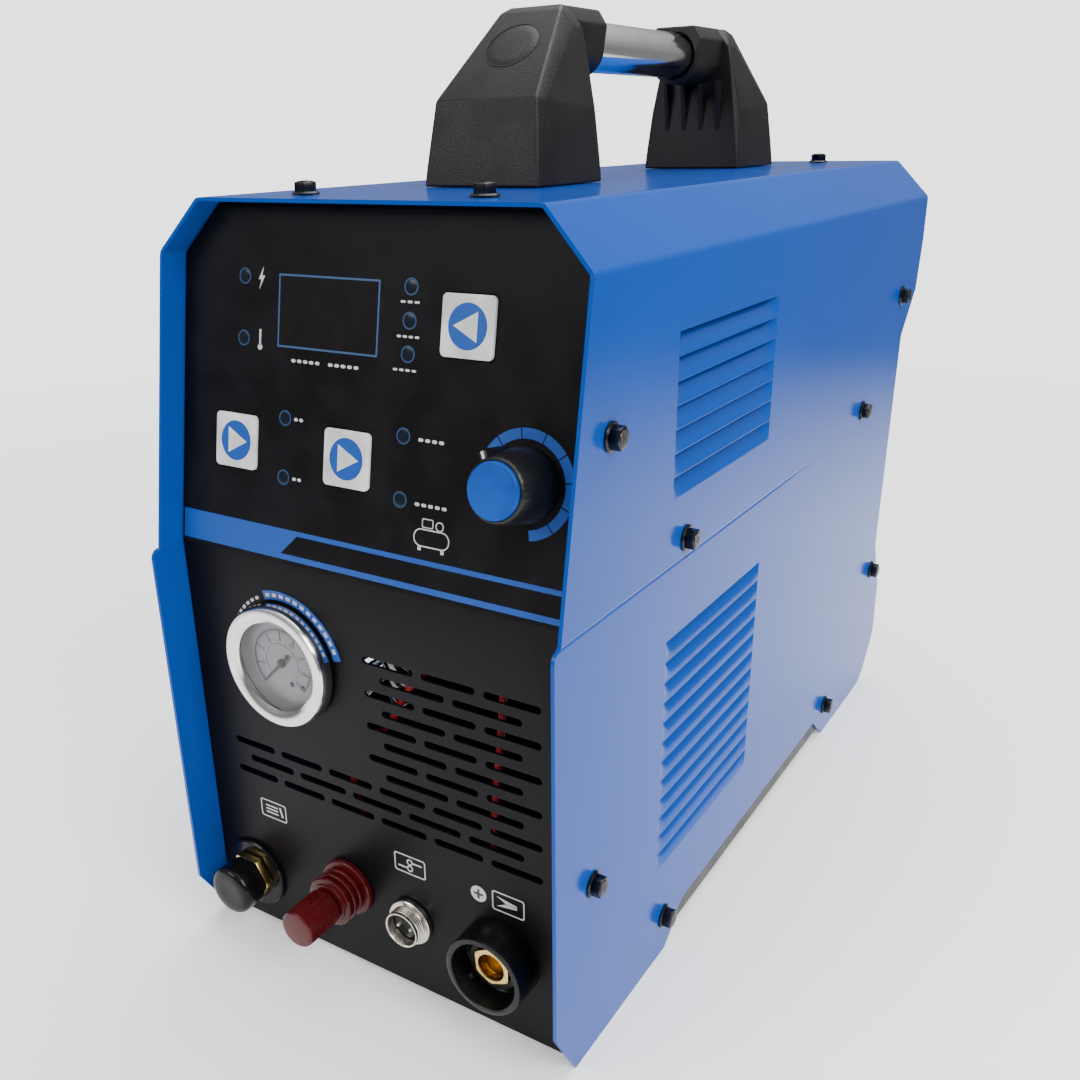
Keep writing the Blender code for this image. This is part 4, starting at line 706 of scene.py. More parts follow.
    def piece(self, name: str, finish: "Finish | bpy.types.Material", body: str = CASING, slot: str = "",
              stands_for: Sequence[str] = (), smooth: float = SMOOTH_ANGLE) -> bpy.types.Object:
        """Turns the mesh into a piece of the unit.

        Args:
            name: The piece's name.
            finish: Its finish.
            body: The body that it rides on.
            slot: The record's material slot that it belongs to.
            stands_for: CAD nodes that it replaces.
            smooth: Angle, in radians, above which an edge is drawn sharp.

        Returns:
            The object.
        """
        data = bpy.data.meshes.new(name)
        self.mesh.to_mesh(data)
        self.mesh.free()
        data.materials.append(finish.get() if isinstance(finish, Finish) else finish)
        data.shade_smooth()
        data.set_sharp_from_angle(angle=smooth)
        made = bpy.data.objects.new(name, data)
        bpy.context.scene.collection.objects.link(made)
        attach(made, body)
        if stands_for:
            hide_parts(*stands_for)
        log.info("%s on %s, %d faces", name, body, len(data.polygons))
        return made


def thicken(piece: bpy.types.Object, thickness: float, edge: float) -> None:
    """Gives an open sheet its thickness, inwards, and softens its cut edges."""
    wall = piece.modifiers.new("wall", "SOLIDIFY")
    wall.thickness = thickness
    wall.offset = -1.0
    wall.use_even_offset = True
    soft = piece.modifiers.new("edge", "BEVEL")
    soft.width = edge
    soft.segments = 2
    soft.limit_method = "ANGLE"
    soft.angle_limit = math.radians(50)
    soft.harden_normals = True


def arc(centre: Point, radius: float, start: float, end: float, steps: int) -> list[Point]:
    """Points on an arc, with both angles in degrees."""
    turns = [math.radians(start + (end - start) * step / steps) for step in range(steps + 1)]
    return [(centre[0] + radius * math.cos(turn), centre[1] + radius * math.sin(turn)) for turn in turns]


def disc(centre: Point, radius: float, steps: int = 40) -> list[Point]:
    """A round outline."""
    return arc(centre, radius, 0, 360, steps)[:-1]


def oblong(start: float, end: float, level: float, width: float) -> list[Point]:
    """A slot outline with round ends."""
    radius = width / 2
    right = arc((end - radius, level), radius, -90, 90, 8)
    return right + arc((start + radius, level), radius, 90, 270, 8)


def frame_outline(width: float, height: float, radius: float, centre: Point = (0.0, 0.0)) -> list[Point]:
    """A rectangle with round corners."""
    x, y = width / 2 - radius, height / 2 - radius
    points: list[Point] = []
    for sign_x, sign_y, start in ((1, 1, 0), (-1, 1, 90), (-1, -1, 180), (1, -1, 270)):
        middle = (centre[0] + sign_x * x, centre[1] + sign_y * y)
        points += arc(middle, radius, start, start + 90, 6)
    return points


def ring_band(centre: Point, inner: float, outer: float, start: float, end: float, steps: int = 40) -> list[Point]:
    """The outline of an arc-shaped band."""
    return arc(centre, outer, start, end, steps) + arc(centre, inner, end, start, steps)


def hex_outline(flats: float, centre: Point = (0.0, 0.0), turn: float = 0.0) -> list[Point]:
    """A hexagon with the given half width across flats."""
    return arc(centre, flats / math.cos(math.pi / 6), turn, turn + 360, 6)[:-1]


# ---------------------------------------------------------------- measures


@dataclass(frozen=True)
class Casing:
    """Sizes of the casing that its sheets and faces share."""

    width: float = 0.200
    height: float = 0.341
    length: float = 0.441
    sheet: float = 0.0015
    fit: float = 0.0003
    chamfer_width: float = 0.0205
    chamfer_height: float = 0.0212
    fold: float = 0.197
    hood_lean: float = 0.16
    lower_lean: float = 0.022
    recess: float = 0.0128
    rear_setback: float = 0.0355

    @functools.cache
    def front_y(self) -> float:
        """Y of the top's front edge."""
        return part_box("case_cover")[1][1] - self.length

    def fold_y(self) -> float:
        """Y of the front panel at its fold."""
        return self.front_y() + self.recess - self.hood_lean * (self.height - self.fold)

    def inner_half(self) -> float:
        """Half the width of a sheet that fits inside the cover."""
        return self.width / 2 - self.sheet - self.fit

    def top_half(self) -> float:
        """Half the width of the cover's flat top."""
        return self.width / 2 - self.chamfer_width

    def slant(self) -> float:
        """Width of a chamfer along its slope."""
        return math.hypot(self.chamfer_width, self.chamfer_height)

    def face_height(self) -> float:
        """Length of the control face from the fold to the panel's top edge."""
        return (self.height - self.sheet - self.fit - self.fold) * math.hypot(1.0, self.hood_lean)

    def upper(self) -> Matrix:
        """Frame of the control face: X right, Y up the face, Z out."""
        return self._face(-math.atan(self.hood_lean))

    def lower(self) -> Matrix:
        """Frame of the connector face."""
        return self._face(math.atan(self.lower_lean))

    def _face(self, lean: float) -> Matrix:
        """A face's frame, leaning about the fold by an angle."""
        place = Matrix.Translation((0.0, self.fold_y(), self.fold))
        return place @ Matrix.Rotation(lean, 4, "X") @ Matrix.Rotation(math.pi / 2, 4, "X")

    def rear(self) -> Matrix:
        """Frame of the rear panel's face: X to the left, Y up, Z out."""
        y = self.front_y() + self.length - self.rear_setback
        return Matrix.Translation((0.0, y, 0.0)) @ Matrix.Rotation(math.pi, 4, "Z") @ Matrix.Rotation(math.pi / 2, 4,
                                                                                                      "X")


SIZES = Casing()


def on(frame: Matrix, x: float, y: float, turn: float = 0.0) -> Matrix:
    """A placement on a face, turned clockwise as seen from outside, in degrees."""
    return frame @ Matrix.Translation((x, y, 0.0)) @ about_z(-turn)


def about_z(degrees: float) -> Matrix:
    """A turn about Z."""
    return Matrix.Rotation(math.radians(degrees), 4, "Z")


def fold_returns(frame: Matrix, flat: Vector) -> Vector:
    """Places a point of a flat panel on its face, with the sides beyond the cover's inside folded back."""
    half = SIZES.inner_half()
    x = max(-half, min(half, flat.x))
    return frame @ Vector((x, flat.y, -(abs(flat.x) - abs(x))))


def hex_nut(flats: float, low: float, high: float, bore: float, turn: float = 0.0) -> Shape:
    """A hexagon nut with softened edges.

    Args:
        flats: Half its width across flats.
        low: Height of its back.
        high: Height of its front.
        bore: Radius of its hole.
        turn: Turn of its corners, in degrees.

    Returns:
        The nut.
    """
    return Shape.slab(hex_outline(flats, turn=turn), low, high, [disc((0, 0), bore, 48)]).bevel(0.0005, 2, 40)


def knurled(shape: Shape, count: int, depth: float, low: float, high: float, least: float) -> Shape:
    """Presses straight grooves into the side of a turned shape.

    Args:
        shape: The shape, with its axis along Z.
        count: Number of grooves.
        depth: Their depth.
        low: Where they start.
        high: Where they end.
        least: Radius below which nothing moves.

    Returns:
        The same shape.
    """

    def press(point: Vector) -> Vector:
        """Moves one point inwards in the grooves."""
        radius = math.hypot(point.x, point.y)
        if radius < least or not low <= point.z <= high:
            return point
        wave = 0.5 + 0.5 * math.cos(count * math.atan2(point.y, point.x))
        factor = 1.0 - depth * wave / radius
        return Vector((point.x * factor, point.y * factor, point.z))

    return shape.bend(press)


# ---------------------------------------------------------------- casing sheets


@dataclass
class Cover:
    """The blue cover: one bent sheet with pressed louvres."""

    bend: float = 0.0016
    crease: float = 0.00028
    crease_end: float = 0.245
    notch: float = 0.0045
    louvre_start: float = 0.066
    louvre_length: float = 0.108
    louvre_height: float = 0.0091
    louvre_depth: float = 0.0056
    louvre_pitch: float = 0.0095
    louvre_end: float = 0.0055

    def side_outline(self) -> list[Point]:
        """(depth, height) points of one side from the shoulder at the front, round to the back."""
        s = SIZES
        fold_y = -s.hood_lean * (s.height - s.fold)
        lower_y = fold_y - self.notch
        foot_y = lower_y + s.lower_lean * (s.fold - 0.027)
        points = [(fold_y, s.fold)]
        points += arc((fold_y, s.fold - self.notch), self.notch, 90, 180, 6)
        points += [(foot_y, 0.027), (-0.007, 0.0), (0.080, 0.0)]
        points += arc((0.104, 0.0), 0.016, 150, 90, 5)
        rear = s.length - 0.050
        points += [(s.length - 0.143, 0.016), (s.length - 0.123, 0.0)]
        points += arc((rear, 0.028), 0.028, -90, -45, 5)
        points += [(s.length - 0.014, 0.028), (s.length - 0.016, 0.066)]
        points += [(s.length - 0.02625, 0.083), (s.length - 0.0345, 0.100), (s.length - 0.0295, 0.238)]
        points += [(s.length - 0.005, 0.264), (s.length, 0.293)]
        return points

    def developed(self) -> list[Point]:
        """(across, depth) outline of the flat sheet, with 0 in the middle of the top."""
        s = SIZES
        top = s.top_half()
        shoulder = top + s.slant()
        half = [(top, 0.0), (shoulder, -s.hood_lean * s.chamfer_height)]
        drop = s.height - s.chamfer_height
        half += [(shoulder + drop - height, depth) for depth, height in self.side_outline()]
        half += [(shoulder, s.length), (top, s.length)]
        return half + [(-across, depth) for across, depth in half[::-1]]

    def folded(self, flat: Vector) -> Vector:
        """Folds a point of the flat sheet.

        Args:
            flat: (across, depth, distance inside the sheet).

        Returns:
            The place in the world.
        """
        s = SIZES
        sign = -1.0 if flat.x < 0 else 1.0
        across = abs(flat.x)
        near = max(0.0, 1.0 - abs(across - self.crease_line()) / 0.0008)
        press = self.crease * near * min(1.0, max(0.0, (self.crease_end - flat.y) / 0.012))
        top = s.top_half()
        slant = s.slant()
        chamfer = Vector((s.chamfer_width, -s.chamfer_height)) / slant
        corners = [Vector((top, s.height)), Vector((s.width / 2, s.height - s.chamfer_height))]
        legs = [Vector((1.0, 0.0)), chamfer, Vector((0.0, -1.0))]
        starts = [top, top + slant]
        place = Vector((across, s.height))
        way = legs[0]
        if across > starts[1]:
            place = corners[1] + legs[2] * (across - starts[1])
            way = legs[2]
        elif across > starts[0]:
            place = corners[0] + legs[1] * (across - starts[0])
            way = legs[1]
        for index, start in enumerate(starts):
            if abs(across - start) < self.bend:
                share = (across - start + self.bend) / (2 * self.bend)
                before = corners[index] - legs[index] * self.bend
                after = corners[index] + legs[index + 1] * self.bend
                place = before.lerp(corners[index], share).lerp(corners[index].lerp(after, share), share)
                way = legs[index].lerp(legs[index + 1], share).normalized()
        inward = Vector((way.y, -way.x))
        place = place + inward * (flat.z + press)
        return Vector((sign * place.x, s.front_y() + flat.y, place.y))

    def crease_line(self) -> float:
        """Distance of the crease from the middle of the top, along the sheet."""
        s = SIZES
        return s.top_half() + s.slant() + s.height - s.chamfer_height - s.fold

    def louvres(self) -> list[float]:
        """Lower edges of the louvres, as heights."""
        upper = [0.2255 + self.louvre_pitch * index for index in range(7)]
        lower = [0.0505 + self.louvre_pitch * index for index in range(12)]
        return lower + upper

    def slat(self, across: float, sign: float) -> Shape:
        """One pressed slat on the flat sheet, deepest at its upper edge.

        Args:
            across: Distance of its lower edge from the middle of the top.
            sign: 1 on the right side, -1 on the left.

        Returns:
            The open slat.
        """
        shape = Shape()
        bmesh.ops.create_grid(shape.mesh, x_segments=7, y_segments=30, size=0.5)
        shape.scale((self.louvre_height, self.louvre_length, 1.0))
        shape.move((across - self.louvre_height / 2, self.louvre_start + self.louvre_length / 2, 0.0))

        def press(point: Vector) -> Vector:
            """Presses one point inwards."""
            share = max(0.0, (across - point.x) / self.louvre_height)
            end = min(point.y - self.louvre_start, self.louvre_start + self.louvre_length - point.y)
            ease = min(1.0, max(0.0, end) / self.louvre_end)
            depth = self.louvre_depth * share**1.6 * ease * ease * (3 - 2 * ease)
            return Vector((sign * point.x, point.y, depth))

        shape.bend(press)
        return shape

    def build(self) -> None:
        """Builds the cover."""
        s = SIZES
        top = s.top_half()
        slant = s.slant()
        base = top + slant + s.height - s.chamfer_height
        holes = []
        slats = []
        y0, y1 = self.louvre_start, self.louvre_start + self.louvre_length
        for low in self.louvres():
            across = base - low
            for sign in (-1.0, 1.0):
                near, far = sorted((sign * across, sign * (across - self.louvre_height)))
                holes.append([(near, y0), (far, y0), (far, y1), (near, y1)])
                slats.append(self.slat(across, sign))
        sheet = Shape.sheet(self.developed(), holes)
        lines = []
        for start in (top, top + slant):
            lines += [start + self.bend * share for share in (-1.5, -1.0, -0.6, -0.2, 0.2, 0.6, 1.0, 1.5)]
        lines += [self.crease_line() + offset for offset in (-0.0012, -0.0008, 0.0, 0.0008, 0.0012)]
        sheet.cut([sign * line for line in lines for sign in (-1, 1)], 0)
        sheet.cut([self.crease_end - 0.012, self.crease_end], 1)
        sheet.add(*slats)
        sheet.bend(self.folded)
        bmesh.ops.remove_doubles(sheet.mesh, verts=sheet.mesh.verts[:], dist=2e-6)
        self.face_out(sheet)
        piece = sheet.piece("blue_cover", Finish.BLUE, slot="blue_paint", stands_for=["case_cover"])
        thicken(piece, s.sheet, 0.00035)

    def face_out(self, sheet: Shape) -> None:
        """Turns every face away from the casing's middle."""
        middle = Vector((0.0, 0.0, SIZES.height / 2))
        for face in sheet.mesh.faces:
            face.normal_update()
        wrong = []
        for face in sheet.mesh.faces:
            away = face.calc_center_median() - middle
            away.y = 0.0
            if face.normal.dot(away) < 0:
                wrong.append(face)
        bmesh.ops.reverse_faces(sheet.mesh, faces=wrong)


@dataclass
class Panel:
    """The folded black front panel with its vents and openings."""

    slot: float = 0.0032
    pitch: float = 0.00765
    rows: int = 11
    wide_from: int = 8
    start_down: float = 0.0344
    gap: float = 0.004
    returns: float = 0.022
    bottom: float = 0.003

    def vents(self) -> list[list[Point]]:
        """Outlines of the vents, as (x, distance above the fold)."""
        found = []
        for row in range(self.rows):
            short = row % 2
            wide = row >= self.wide_from
            right = 0.076 if short else 0.0844
            left = (-0.080 if wide else 0.0) + (0.0084 if short else 0.0)
            count = (5 if short else 6) if wide else (2 if short else 3)
            length = (right - left + self.gap) / count - self.gap
            for index in range(count):
                start = left + index * (length + self.gap)
                found.append(oblong(start, start + length, -self.start_down - row * self.pitch, self.slot))
        return found

    def folded(self, flat: Vector) -> Vector:
        """Folds a point of the flat panel about the fold and the side bends."""
        return fold_returns(SIZES.upper() if flat.y > 0 else SIZES.lower(), flat)

    def build(self) -> None:
        """Builds the panel."""
        s = SIZES
        half = s.inner_half()
        top = s.face_height()
        shoulder = top - s.chamfer_height
        corner = half - s.chamfer_width + 0.0008
        low = -(s.fold - self.bottom) * math.hypot(1.0, s.lower_lean)
        wide = half + self.returns
        outline = [(-wide, low), (wide, low), (wide, shoulder), (half, shoulder), (corner, top), (-corner, top)]
        outline += [(-half, shoulder), (-wide, shoulder)]
        holes = self.vents()
        holes += [disc((-0.043, -0.0462), 0.0240), disc((-0.076, -0.1685), 0.0098), disc((-0.0175, -0.1535), 0.0068)]
        holes += [disc((0.018, -0.1575), 0.0081), disc((0.064, -0.1565), 0.0128), disc((0.074, 0.050), 0.0040)]
        sheet = Shape.sheet(outline, holes).cut([-half, half], 0).cut([0.0], 1)
        sheet.bend(self.folded).tidy()
        piece = sheet.piece("black_front_panel", Finish.PANEL, slot="black_powder_coat", stands_for=["front_panel"])
        thicken(piece, s.sheet, 0.00025)


# ---------------------------------------------------------------- control face


class Arrow(Enum):
    """Which way a key's arrow points."""

    RIGHT = 1
    LEFT = -1


@dataclass
class ControlFace:
    """The printed film with its display, lamps, keys and current knob."""

    key: float = 0.0225
    key_front: float = 0.0020
    film_front: float = 0.0009
    margin: float = 0.002
    knob: Point = (0.074, 0.050)
    lamp: float = 0.0025

    def film_height(self) -> float:
        """Length of the film from the fold to its top edge."""
        return SIZES.face_height() - self.margin

    def key_places(self) -> dict[str, tuple[float, float, Arrow]]:
        """(x, y, arrow) of each key."""
        top = SIZES.face_height()
        return {
            "mode_key": (-0.0652, 0.335 * top, Arrow.RIGHT),
            "source_key": (-0.0062, 0.335 * top, Arrow.RIGHT),
            "select_key": (0.0462, 0.712 * top, Arrow.LEFT),
        }

    def build_film(self) -> None:
        """Builds the film and its printing."""
        s = SIZES
        half = s.inner_half() - self.margin
        top = self.film_height()
        corner = s.top_half() - self.margin
        shoulder = top - s.chamfer_height
        outline = [(-half, 0.0003), (half, 0.0003), (half, shoulder), (corner, top), (-corner, top),
                   (-half, shoulder)]
        holes = [frame_outline(self.key + 0.0008, self.key + 0.0008, 0.0022, (x, y))
                 for x, y, _ in self.key_places().values()]
        display = (-0.0194, 0.712 * s.face_height())
        holes.append(frame_outline(0.0492, 0.0272, 0.0004, display))
        film = Shape.slab(outline, 0.0003, self.film_front, holes).bevel(0.00015, 1, 60)
        film.lay(s.upper()).piece("control_film", Finish.FILM, slot="printed_film", stands_for=["fascia_film"])
        pane = Shape.slab(frame_outline(0.0486, 0.0266, 0.0003, display), -0.001, self.film_front + 0.0002)
        pane.bevel(0.00015, 1, 60).lay(s.upper())
        pane.piece("display_pane", Finish.DISPLAY, slot="smoked_window", stands_for=["display_window"])
        self.build_prints(display, half)

    def printed(self, name: str, finish: Finish, outlines: Sequence[Sequence[Point]],
                frame: Matrix | None = None, level: float | None = None) -> None:
        """Lays flat prints on a face.

        Args:
            name: The piece's name.
            finish: The ink.
            outlines: The outlines of the prints; a pair of outlines in a tuple is a shape with a hole.
            frame: The face's frame, the control face's if left out.
            level: Height of the print's back, the film's front if left out.
        """
        base = self.film_front if level is None else level
        whole = Shape()
        for outline in outlines:
            loops = outline if isinstance(outline, tuple) else (outline,)
            whole.add(Shape.slab(loops[0], base - 0.00004, base + 0.00006, loops[1:]))
        whole.lay(frame or SIZES.upper()).piece(name, finish, slot="printed_film")

    def build_prints(self, display: Point, half: float) -> None:
        """Prints the band, the frames, the rings, the marks and the scale."""
        band = [[(-half, 0.0022), (half, 0.0022), (half, 0.0046), (-0.0395, 0.0046), (-0.0290, 0.0150),
                 (-half, 0.0150)]]
        band.append([(-0.0290, 0.0150), (-0.0310, 0.0130), (half, 0.0130), (half, 0.0150)])
        self.printed("blue_band_print", Finish.INK_BLUE, band)
        edge = (frame_outline(0.0504, 0.0284, 0.0004, display), frame_outline(0.0488, 0.0268, 0.0003, display))
        self.printed("display_frame_print", Finish.INK_FRAME, [edge])
        lamps = [(-0.063, 0.115), (-0.063, 0.0905), (0.020, 0.115), (0.020, 0.1028), (0.020, 0.0907)]
        lamps += [(-0.0393, 0.0604), (-0.0393, 0.0363), (0.020, 0.0605), (0.020, 0.0363)]
        rings = [(disc(place, 0.0032, 32), disc(place, 0.0026, 32)) for place in lamps]
        self.printed("lamp_ring_prints", Finish.INK_RING, rings)
        lenses = Shape()
        for x, y in lamps:
            dome = [(0.0, 0.0004), (self.lamp, 0.0004), (self.lamp, 0.00094), (self.lamp * 0.9, 0.00100),
                    (0.0, 0.00102)]
            lenses.add(Shape.turned(dome, 28).lay(Matrix.Translation((x, y, 0.0))))
        lenses.lay(SIZES.upper()).piece("lamp_lenses", Finish.LAMP, slot="smoked_window")
        self.printed("white_legend_prints", Finish.INK_WHITE, self.legends())
        scale = [ring_band(self.knob, 0.0162, 0.0200, start, start + 28.5, 10) for start in range(130, -110, -30)]
        self.printed("current_scale_print", Finish.INK_BLUE, scale)

    def legends(self) -> list[Any]:
        """Small neutral marks beside the lamps, and simple pictograms."""
        marks: list[Any] = []
        bolt = [(-0.0530, 0.1190), (-0.0556, 0.1140), (-0.0541, 0.1140), (-0.0552, 0.1100), (-0.0522, 0.1155),
                (-0.0537, 0.1155)]
        marks.append(bolt)
        marks.append(disc((-0.0540, 0.0875), 0.0012, 20))
        marks.append([(-0.0545, 0.0880), (-0.0535, 0.0880), (-0.0535, 0.0945), (-0.0545, 0.0945)])
        for start, end, level in ((0.0155, 0.0250, 0.1095), (0.0145, 0.0255, 0.0970), (0.0135, 0.0250, 0.0848)):
            marks += self.dashes(start, end, level, 0.0009)
        marks += self.dashes(-0.0345, -0.0290, 0.0604, 0.0013) + self.dashes(-0.0345, -0.0290, 0.0363, 0.0013)
        marks += self.dashes(0.0270, 0.0395, 0.0600, 0.0013) + self.dashes(0.0270, 0.0425, 0.0358, 0.0013)
        marks += self.dashes(-0.0370, -0.0215, 0.0835, 0.0013) + self.dashes(-0.0180, -0.0020, 0.0835, 0.0013)
        tank = frame_outline(0.0165, 0.0070, 0.0034, (0.0355, 0.0235))
        marks.append((tank, frame_outline(0.0155, 0.0060, 0.0029, (0.0355, 0.0235))))
        marks.append([(0.0295, 0.0185), (0.0310, 0.0185), (0.0310, 0.0200), (0.0295, 0.0200)])
        marks.append([(0.0400, 0.0185), (0.0415, 0.0185), (0.0415, 0.0200), (0.0400, 0.0200)])
        marks.append((frame_outline(0.0052, 0.0036, 0.0006, (0.0335, 0.0292)),
                      frame_outline(0.0044, 0.0028, 0.0004, (0.0335, 0.0292))))
        marks.append((disc((0.0390, 0.0288), 0.0019, 20), disc((0.0390, 0.0288), 0.0014, 20)))
        return marks

    def dashes(self, start: float, end: float, level: float, width: float) -> list[list[Point]]:
        """A row of short dashes that stands where a legend would be."""
        count = max(2, round((end - start) / 0.0030))
        pitch = (end - start) / count
        return [oblong(start + pitch * index, start + pitch * (index + 0.72), level, width) for index in range(count)]

    def build_keys(self) -> None:
        """Builds the three keys with their round arrow prints."""
        for name, (x, y, arrow) in self.key_places().items():
            place = on(SIZES.upper(), x, y)
            plate = Shape.slab(frame_outline(self.key, self.key, 0.0020), 0.0007, self.key_front).bevel(0.0003, 3)
            plate.lay(place).piece(f"{name}_plate", Finish.KEY, name, "white_key", [name])
            tip = 0.0058 * arrow.value
            wedge = [(-tip * 0.72, 0.0054), (-tip * 0.72, -0.0054), (tip * 1.06, 0.0)]
            back = Shape.slab(disc((0, 0), 0.0083, 48), self.key_front - 0.00004, self.key_front + 0.00005)
            back.lay(place).piece(f"{name}_disc_print", Finish.INK_BLUE, name, "white_key")
            mark = Shape.slab(wedge, self.key_front, self.key_front + 0.0001)
            mark.lay(place).piece(f"{name}_arrow_print", Finish.KEY, name, "white_key")

    def build_knob(self) -> None:
        """Builds the tapered knob, its grip ribs, its pointer and its coloured cap."""
        place = on(SIZES.upper(), self.knob[0], 0.347 * SIZES.face_height(), -30.0)
        profile = [(0.0, 0.0160), (0.0033, 0.0160), (0.0033, 0.0045), (0.0070, 0.0045), (0.0070, 0.0013)]
        profile += [(0.0134, 0.0013), (0.0138, 0.0018), (0.0138, 0.0040), (0.0118, 0.0202), (0.0110, 0.0213)]
        profile += [(0.0106, 0.0215), (0.0104, 0.0202), (0.0, 0.0202)]
        body = Shape.turned(profile, 96)
        knurled(body, 24, 0.00022, 0.0035, 0.0206, 0.0112)
        side = [(0.0100, 0.0040), (0.0148, 0.0040), (0.0148, 0.0180), (0.0142, 0.0196), (0.0100, 0.0202)]
        ridge = Shape.hull([(x, y, z) for x in (-0.0016, 0.0016) for y, z in side])
        body.add(ridge.bevel(0.0003, 2))
        body.lay(place).piece("current_knob_body", Finish.KNOB, "current_knob", "black_plastic", ["current_knob"])
        mark = [(0.0108, 0.0198), (0.0143, 0.0193), (0.0143, 0.0197), (0.0108, 0.0203), (0.0150, 0.0150)]
        line = Shape.hull([(x, y, z) for x in (-0.00055, 0.00055) for y, z in mark])
        line.lay(place).piece("knob_pointer_line", Finish.INK_WHITE, "current_knob", "white_key")
        cap = [(0.0, 0.0204), (0.0102, 0.0204), (0.0102, 0.0224), (0.0098, 0.0230), (0.0090, 0.0231), (0.0, 0.0229)]
        cap_shape = Shape.turned(cap, 72).lay(place)
        cap_shape.piece("blue_knob_cap", Finish.CAP, "current_knob", "blue_plastic", ["knob_cap"])

    def build(self) -> None:
        """Builds the whole control face."""
        self.build_film()
        self.build_keys()
        self.build_knob()


# ---------------------------------------------------------------- air gauge


@dataclass
class AirGauge:
    """The pressure gauge: bright bezel, printed dial, needle and lens."""

    x: float = -0.043
    y: float = -0.0462
    bezel: float = 0.0279

    def place(self) -> Matrix:
        """The gauge's placement on the connector face."""
        return on(SIZES.lower(), self.x, self.y)

    def printing(self) -> Shape:
        """The dial's scale, with ticks, two arcs and numbers."""
        top = 0.00225
        marks = Shape()
        for index in range(41):
            turn = math.radians(225 - 270 * index / 40)
            long = index % 5 == 0
            inner, outer = (0.0128 if long else 0.0142), 0.0157
            width = 0.00036 if long else 0.00022
            tick = Shape.slab([(inner, -width), (outer, -width), (outer, width), (inner, width)], top, top + 0.00005)
            marks.add(tick.lay(Matrix.Rotation(turn, 4, "Z")))
        marks.add(Shape.slab(ring_band((0, 0), 0.0154, 0.0160, -45, 225, 80), top, top + 0.00005))
        marks.add(Shape.slab(ring_band((0, 0), 0.0090, 0.00925, -45, 225, 80), top, top + 0.00005))
        for index in range(9):
            turn = math.radians(225 - 270 * index / 8)
            glyph = self.number(str(index * 2))
            glyph.move((0.0114 * math.cos(turn), 0.0114 * math.sin(turn), top))
            marks.add(glyph)
        return marks

    def number(self, text: str) -> Shape:
        """One number as a thin raised print, centred on the origin."""
        curve = bpy.data.curves.new("figure", "FONT")
        curve.body = text
        curve.size = 0.0031
        curve.align_x = "CENTER"
        curve.align_y = "CENTER"
        curve.extrude = 0.00003
        curve.offset = 0.00004
        curve.resolution_u = 3
        holder = bpy.data.objects.new("figure", curve)
        bpy.context.scene.collection.objects.link(holder)
        data = bpy.data.meshes.new_from_object(holder)
        shape = Shape()
        shape.mesh.from_mesh(data)
        bpy.data.objects.remove(holder)
        bpy.data.curves.remove(curve)
        bpy.data.meshes.remove(data)
        return shape.clean()

    def build(self) -> None:
        """Builds the gauge."""
        place = self.place()
        centre = tuple(place.translation)
        case = [(0.0, -0.0045), (0.0225, -0.0045), (0.0225, 0.0013), (0.0246, 0.0013), (0.0246, 0.0068)]
        case += [(0.0208, 0.0070), (0.0206, 0.0073), (0.0222, 0.0082), (0.0240, 0.0088), (0.0256, 0.0089)]
        case += [(0.0270, 0.0085), (0.0277, 0.0076), (0.0279, 0.0062), (0.0279, 0.0024), (0.0274, 0.0012)]
        case += [(0.0262, 0.0004), (0.0237, 0.0003), (0.0237, -0.024), (0.0070, -0.024), (0.0070, -0.040),
                 (0.0, -0.040)]
        chrome = TurnedMetal("bright_bezel", (0.74, 0.73, 0.71), centre, 0.14).material()
        Shape.turned(case, 128).lay(place).piece("gauge_bezel", chrome, CASING, "bright_plate", ["gauge_case"])
        dial = Shape.turned([(0.0010, 0.0016), (0.0243, 0.0016), (0.0243, 0.0022), (0.0010, 0.0022)], 96, ring=True)
        dial.lay(place).piece("gauge_dial_plate", Finish.DIAL, CASING, "silver_dial", ["gauge_dial"])
        self.printing().lay(place).piece("gauge_scale_print", Finish.INK_DARK, CASING, "silver_dial")
        rivets = Shape()
        for x in (0.0046, 0.0108):
            rivet = [(0.0, 0.0022), (0.0012, 0.0022), (0.0012, 0.0023), (0.0008, 0.00248), (0.0, 0.0025)]
            rivets.add(Shape.turned(rivet, 20).lay(Matrix.Translation((x, -0.0092, 0.0))))
        rivets.lay(place).piece("gauge_dial_rivets", Finish.SCREW, CASING, "black_oxide_steel")
        needle = self.needle().lay(place @ about_z(135.0))
        needle.piece("gauge_pointer", Finish.KNOB, "gauge_needle", "black_plastic", ["gauge_needle"])
        lens = [(0.0, 0.0052), (0.0243, 0.0052), (0.0243, 0.0064), (0.0200, 0.0066), (0.0, 0.0067)]
        Shape.turned(lens, 96).lay(place).piece("gauge_lens_pane", Finish.LENS, CASING, "clear_lens", ["gauge_lens"])
        label = Shape.slab(ring_band((0, 0), 0.0286, 0.0326, 14, 107, 60), 0.0001, 0.0003)
        label.lay(place).piece("gauge_arc_label", Finish.INK_BLUE, CASING, "printed_film")
        marks = Shape()
        for index in range(12):
            angle = 20 + index * 7.3
            marks.add(Shape.slab(ring_band((0, 0), 0.0298, 0.0314, angle, angle + 4.2, 6), 0.0003, 0.00036))
        for index in range(11):
            angle = 114 + index * 6.6
            marks.add(Shape.slab(ring_band((0, 0), 0.0294, 0.0308, angle, angle + 3.8, 6), 0.0001, 0.0002))
        marks.lay(place).piece("gauge_label_marks", Finish.INK_WHITE, CASING, "printed_film")

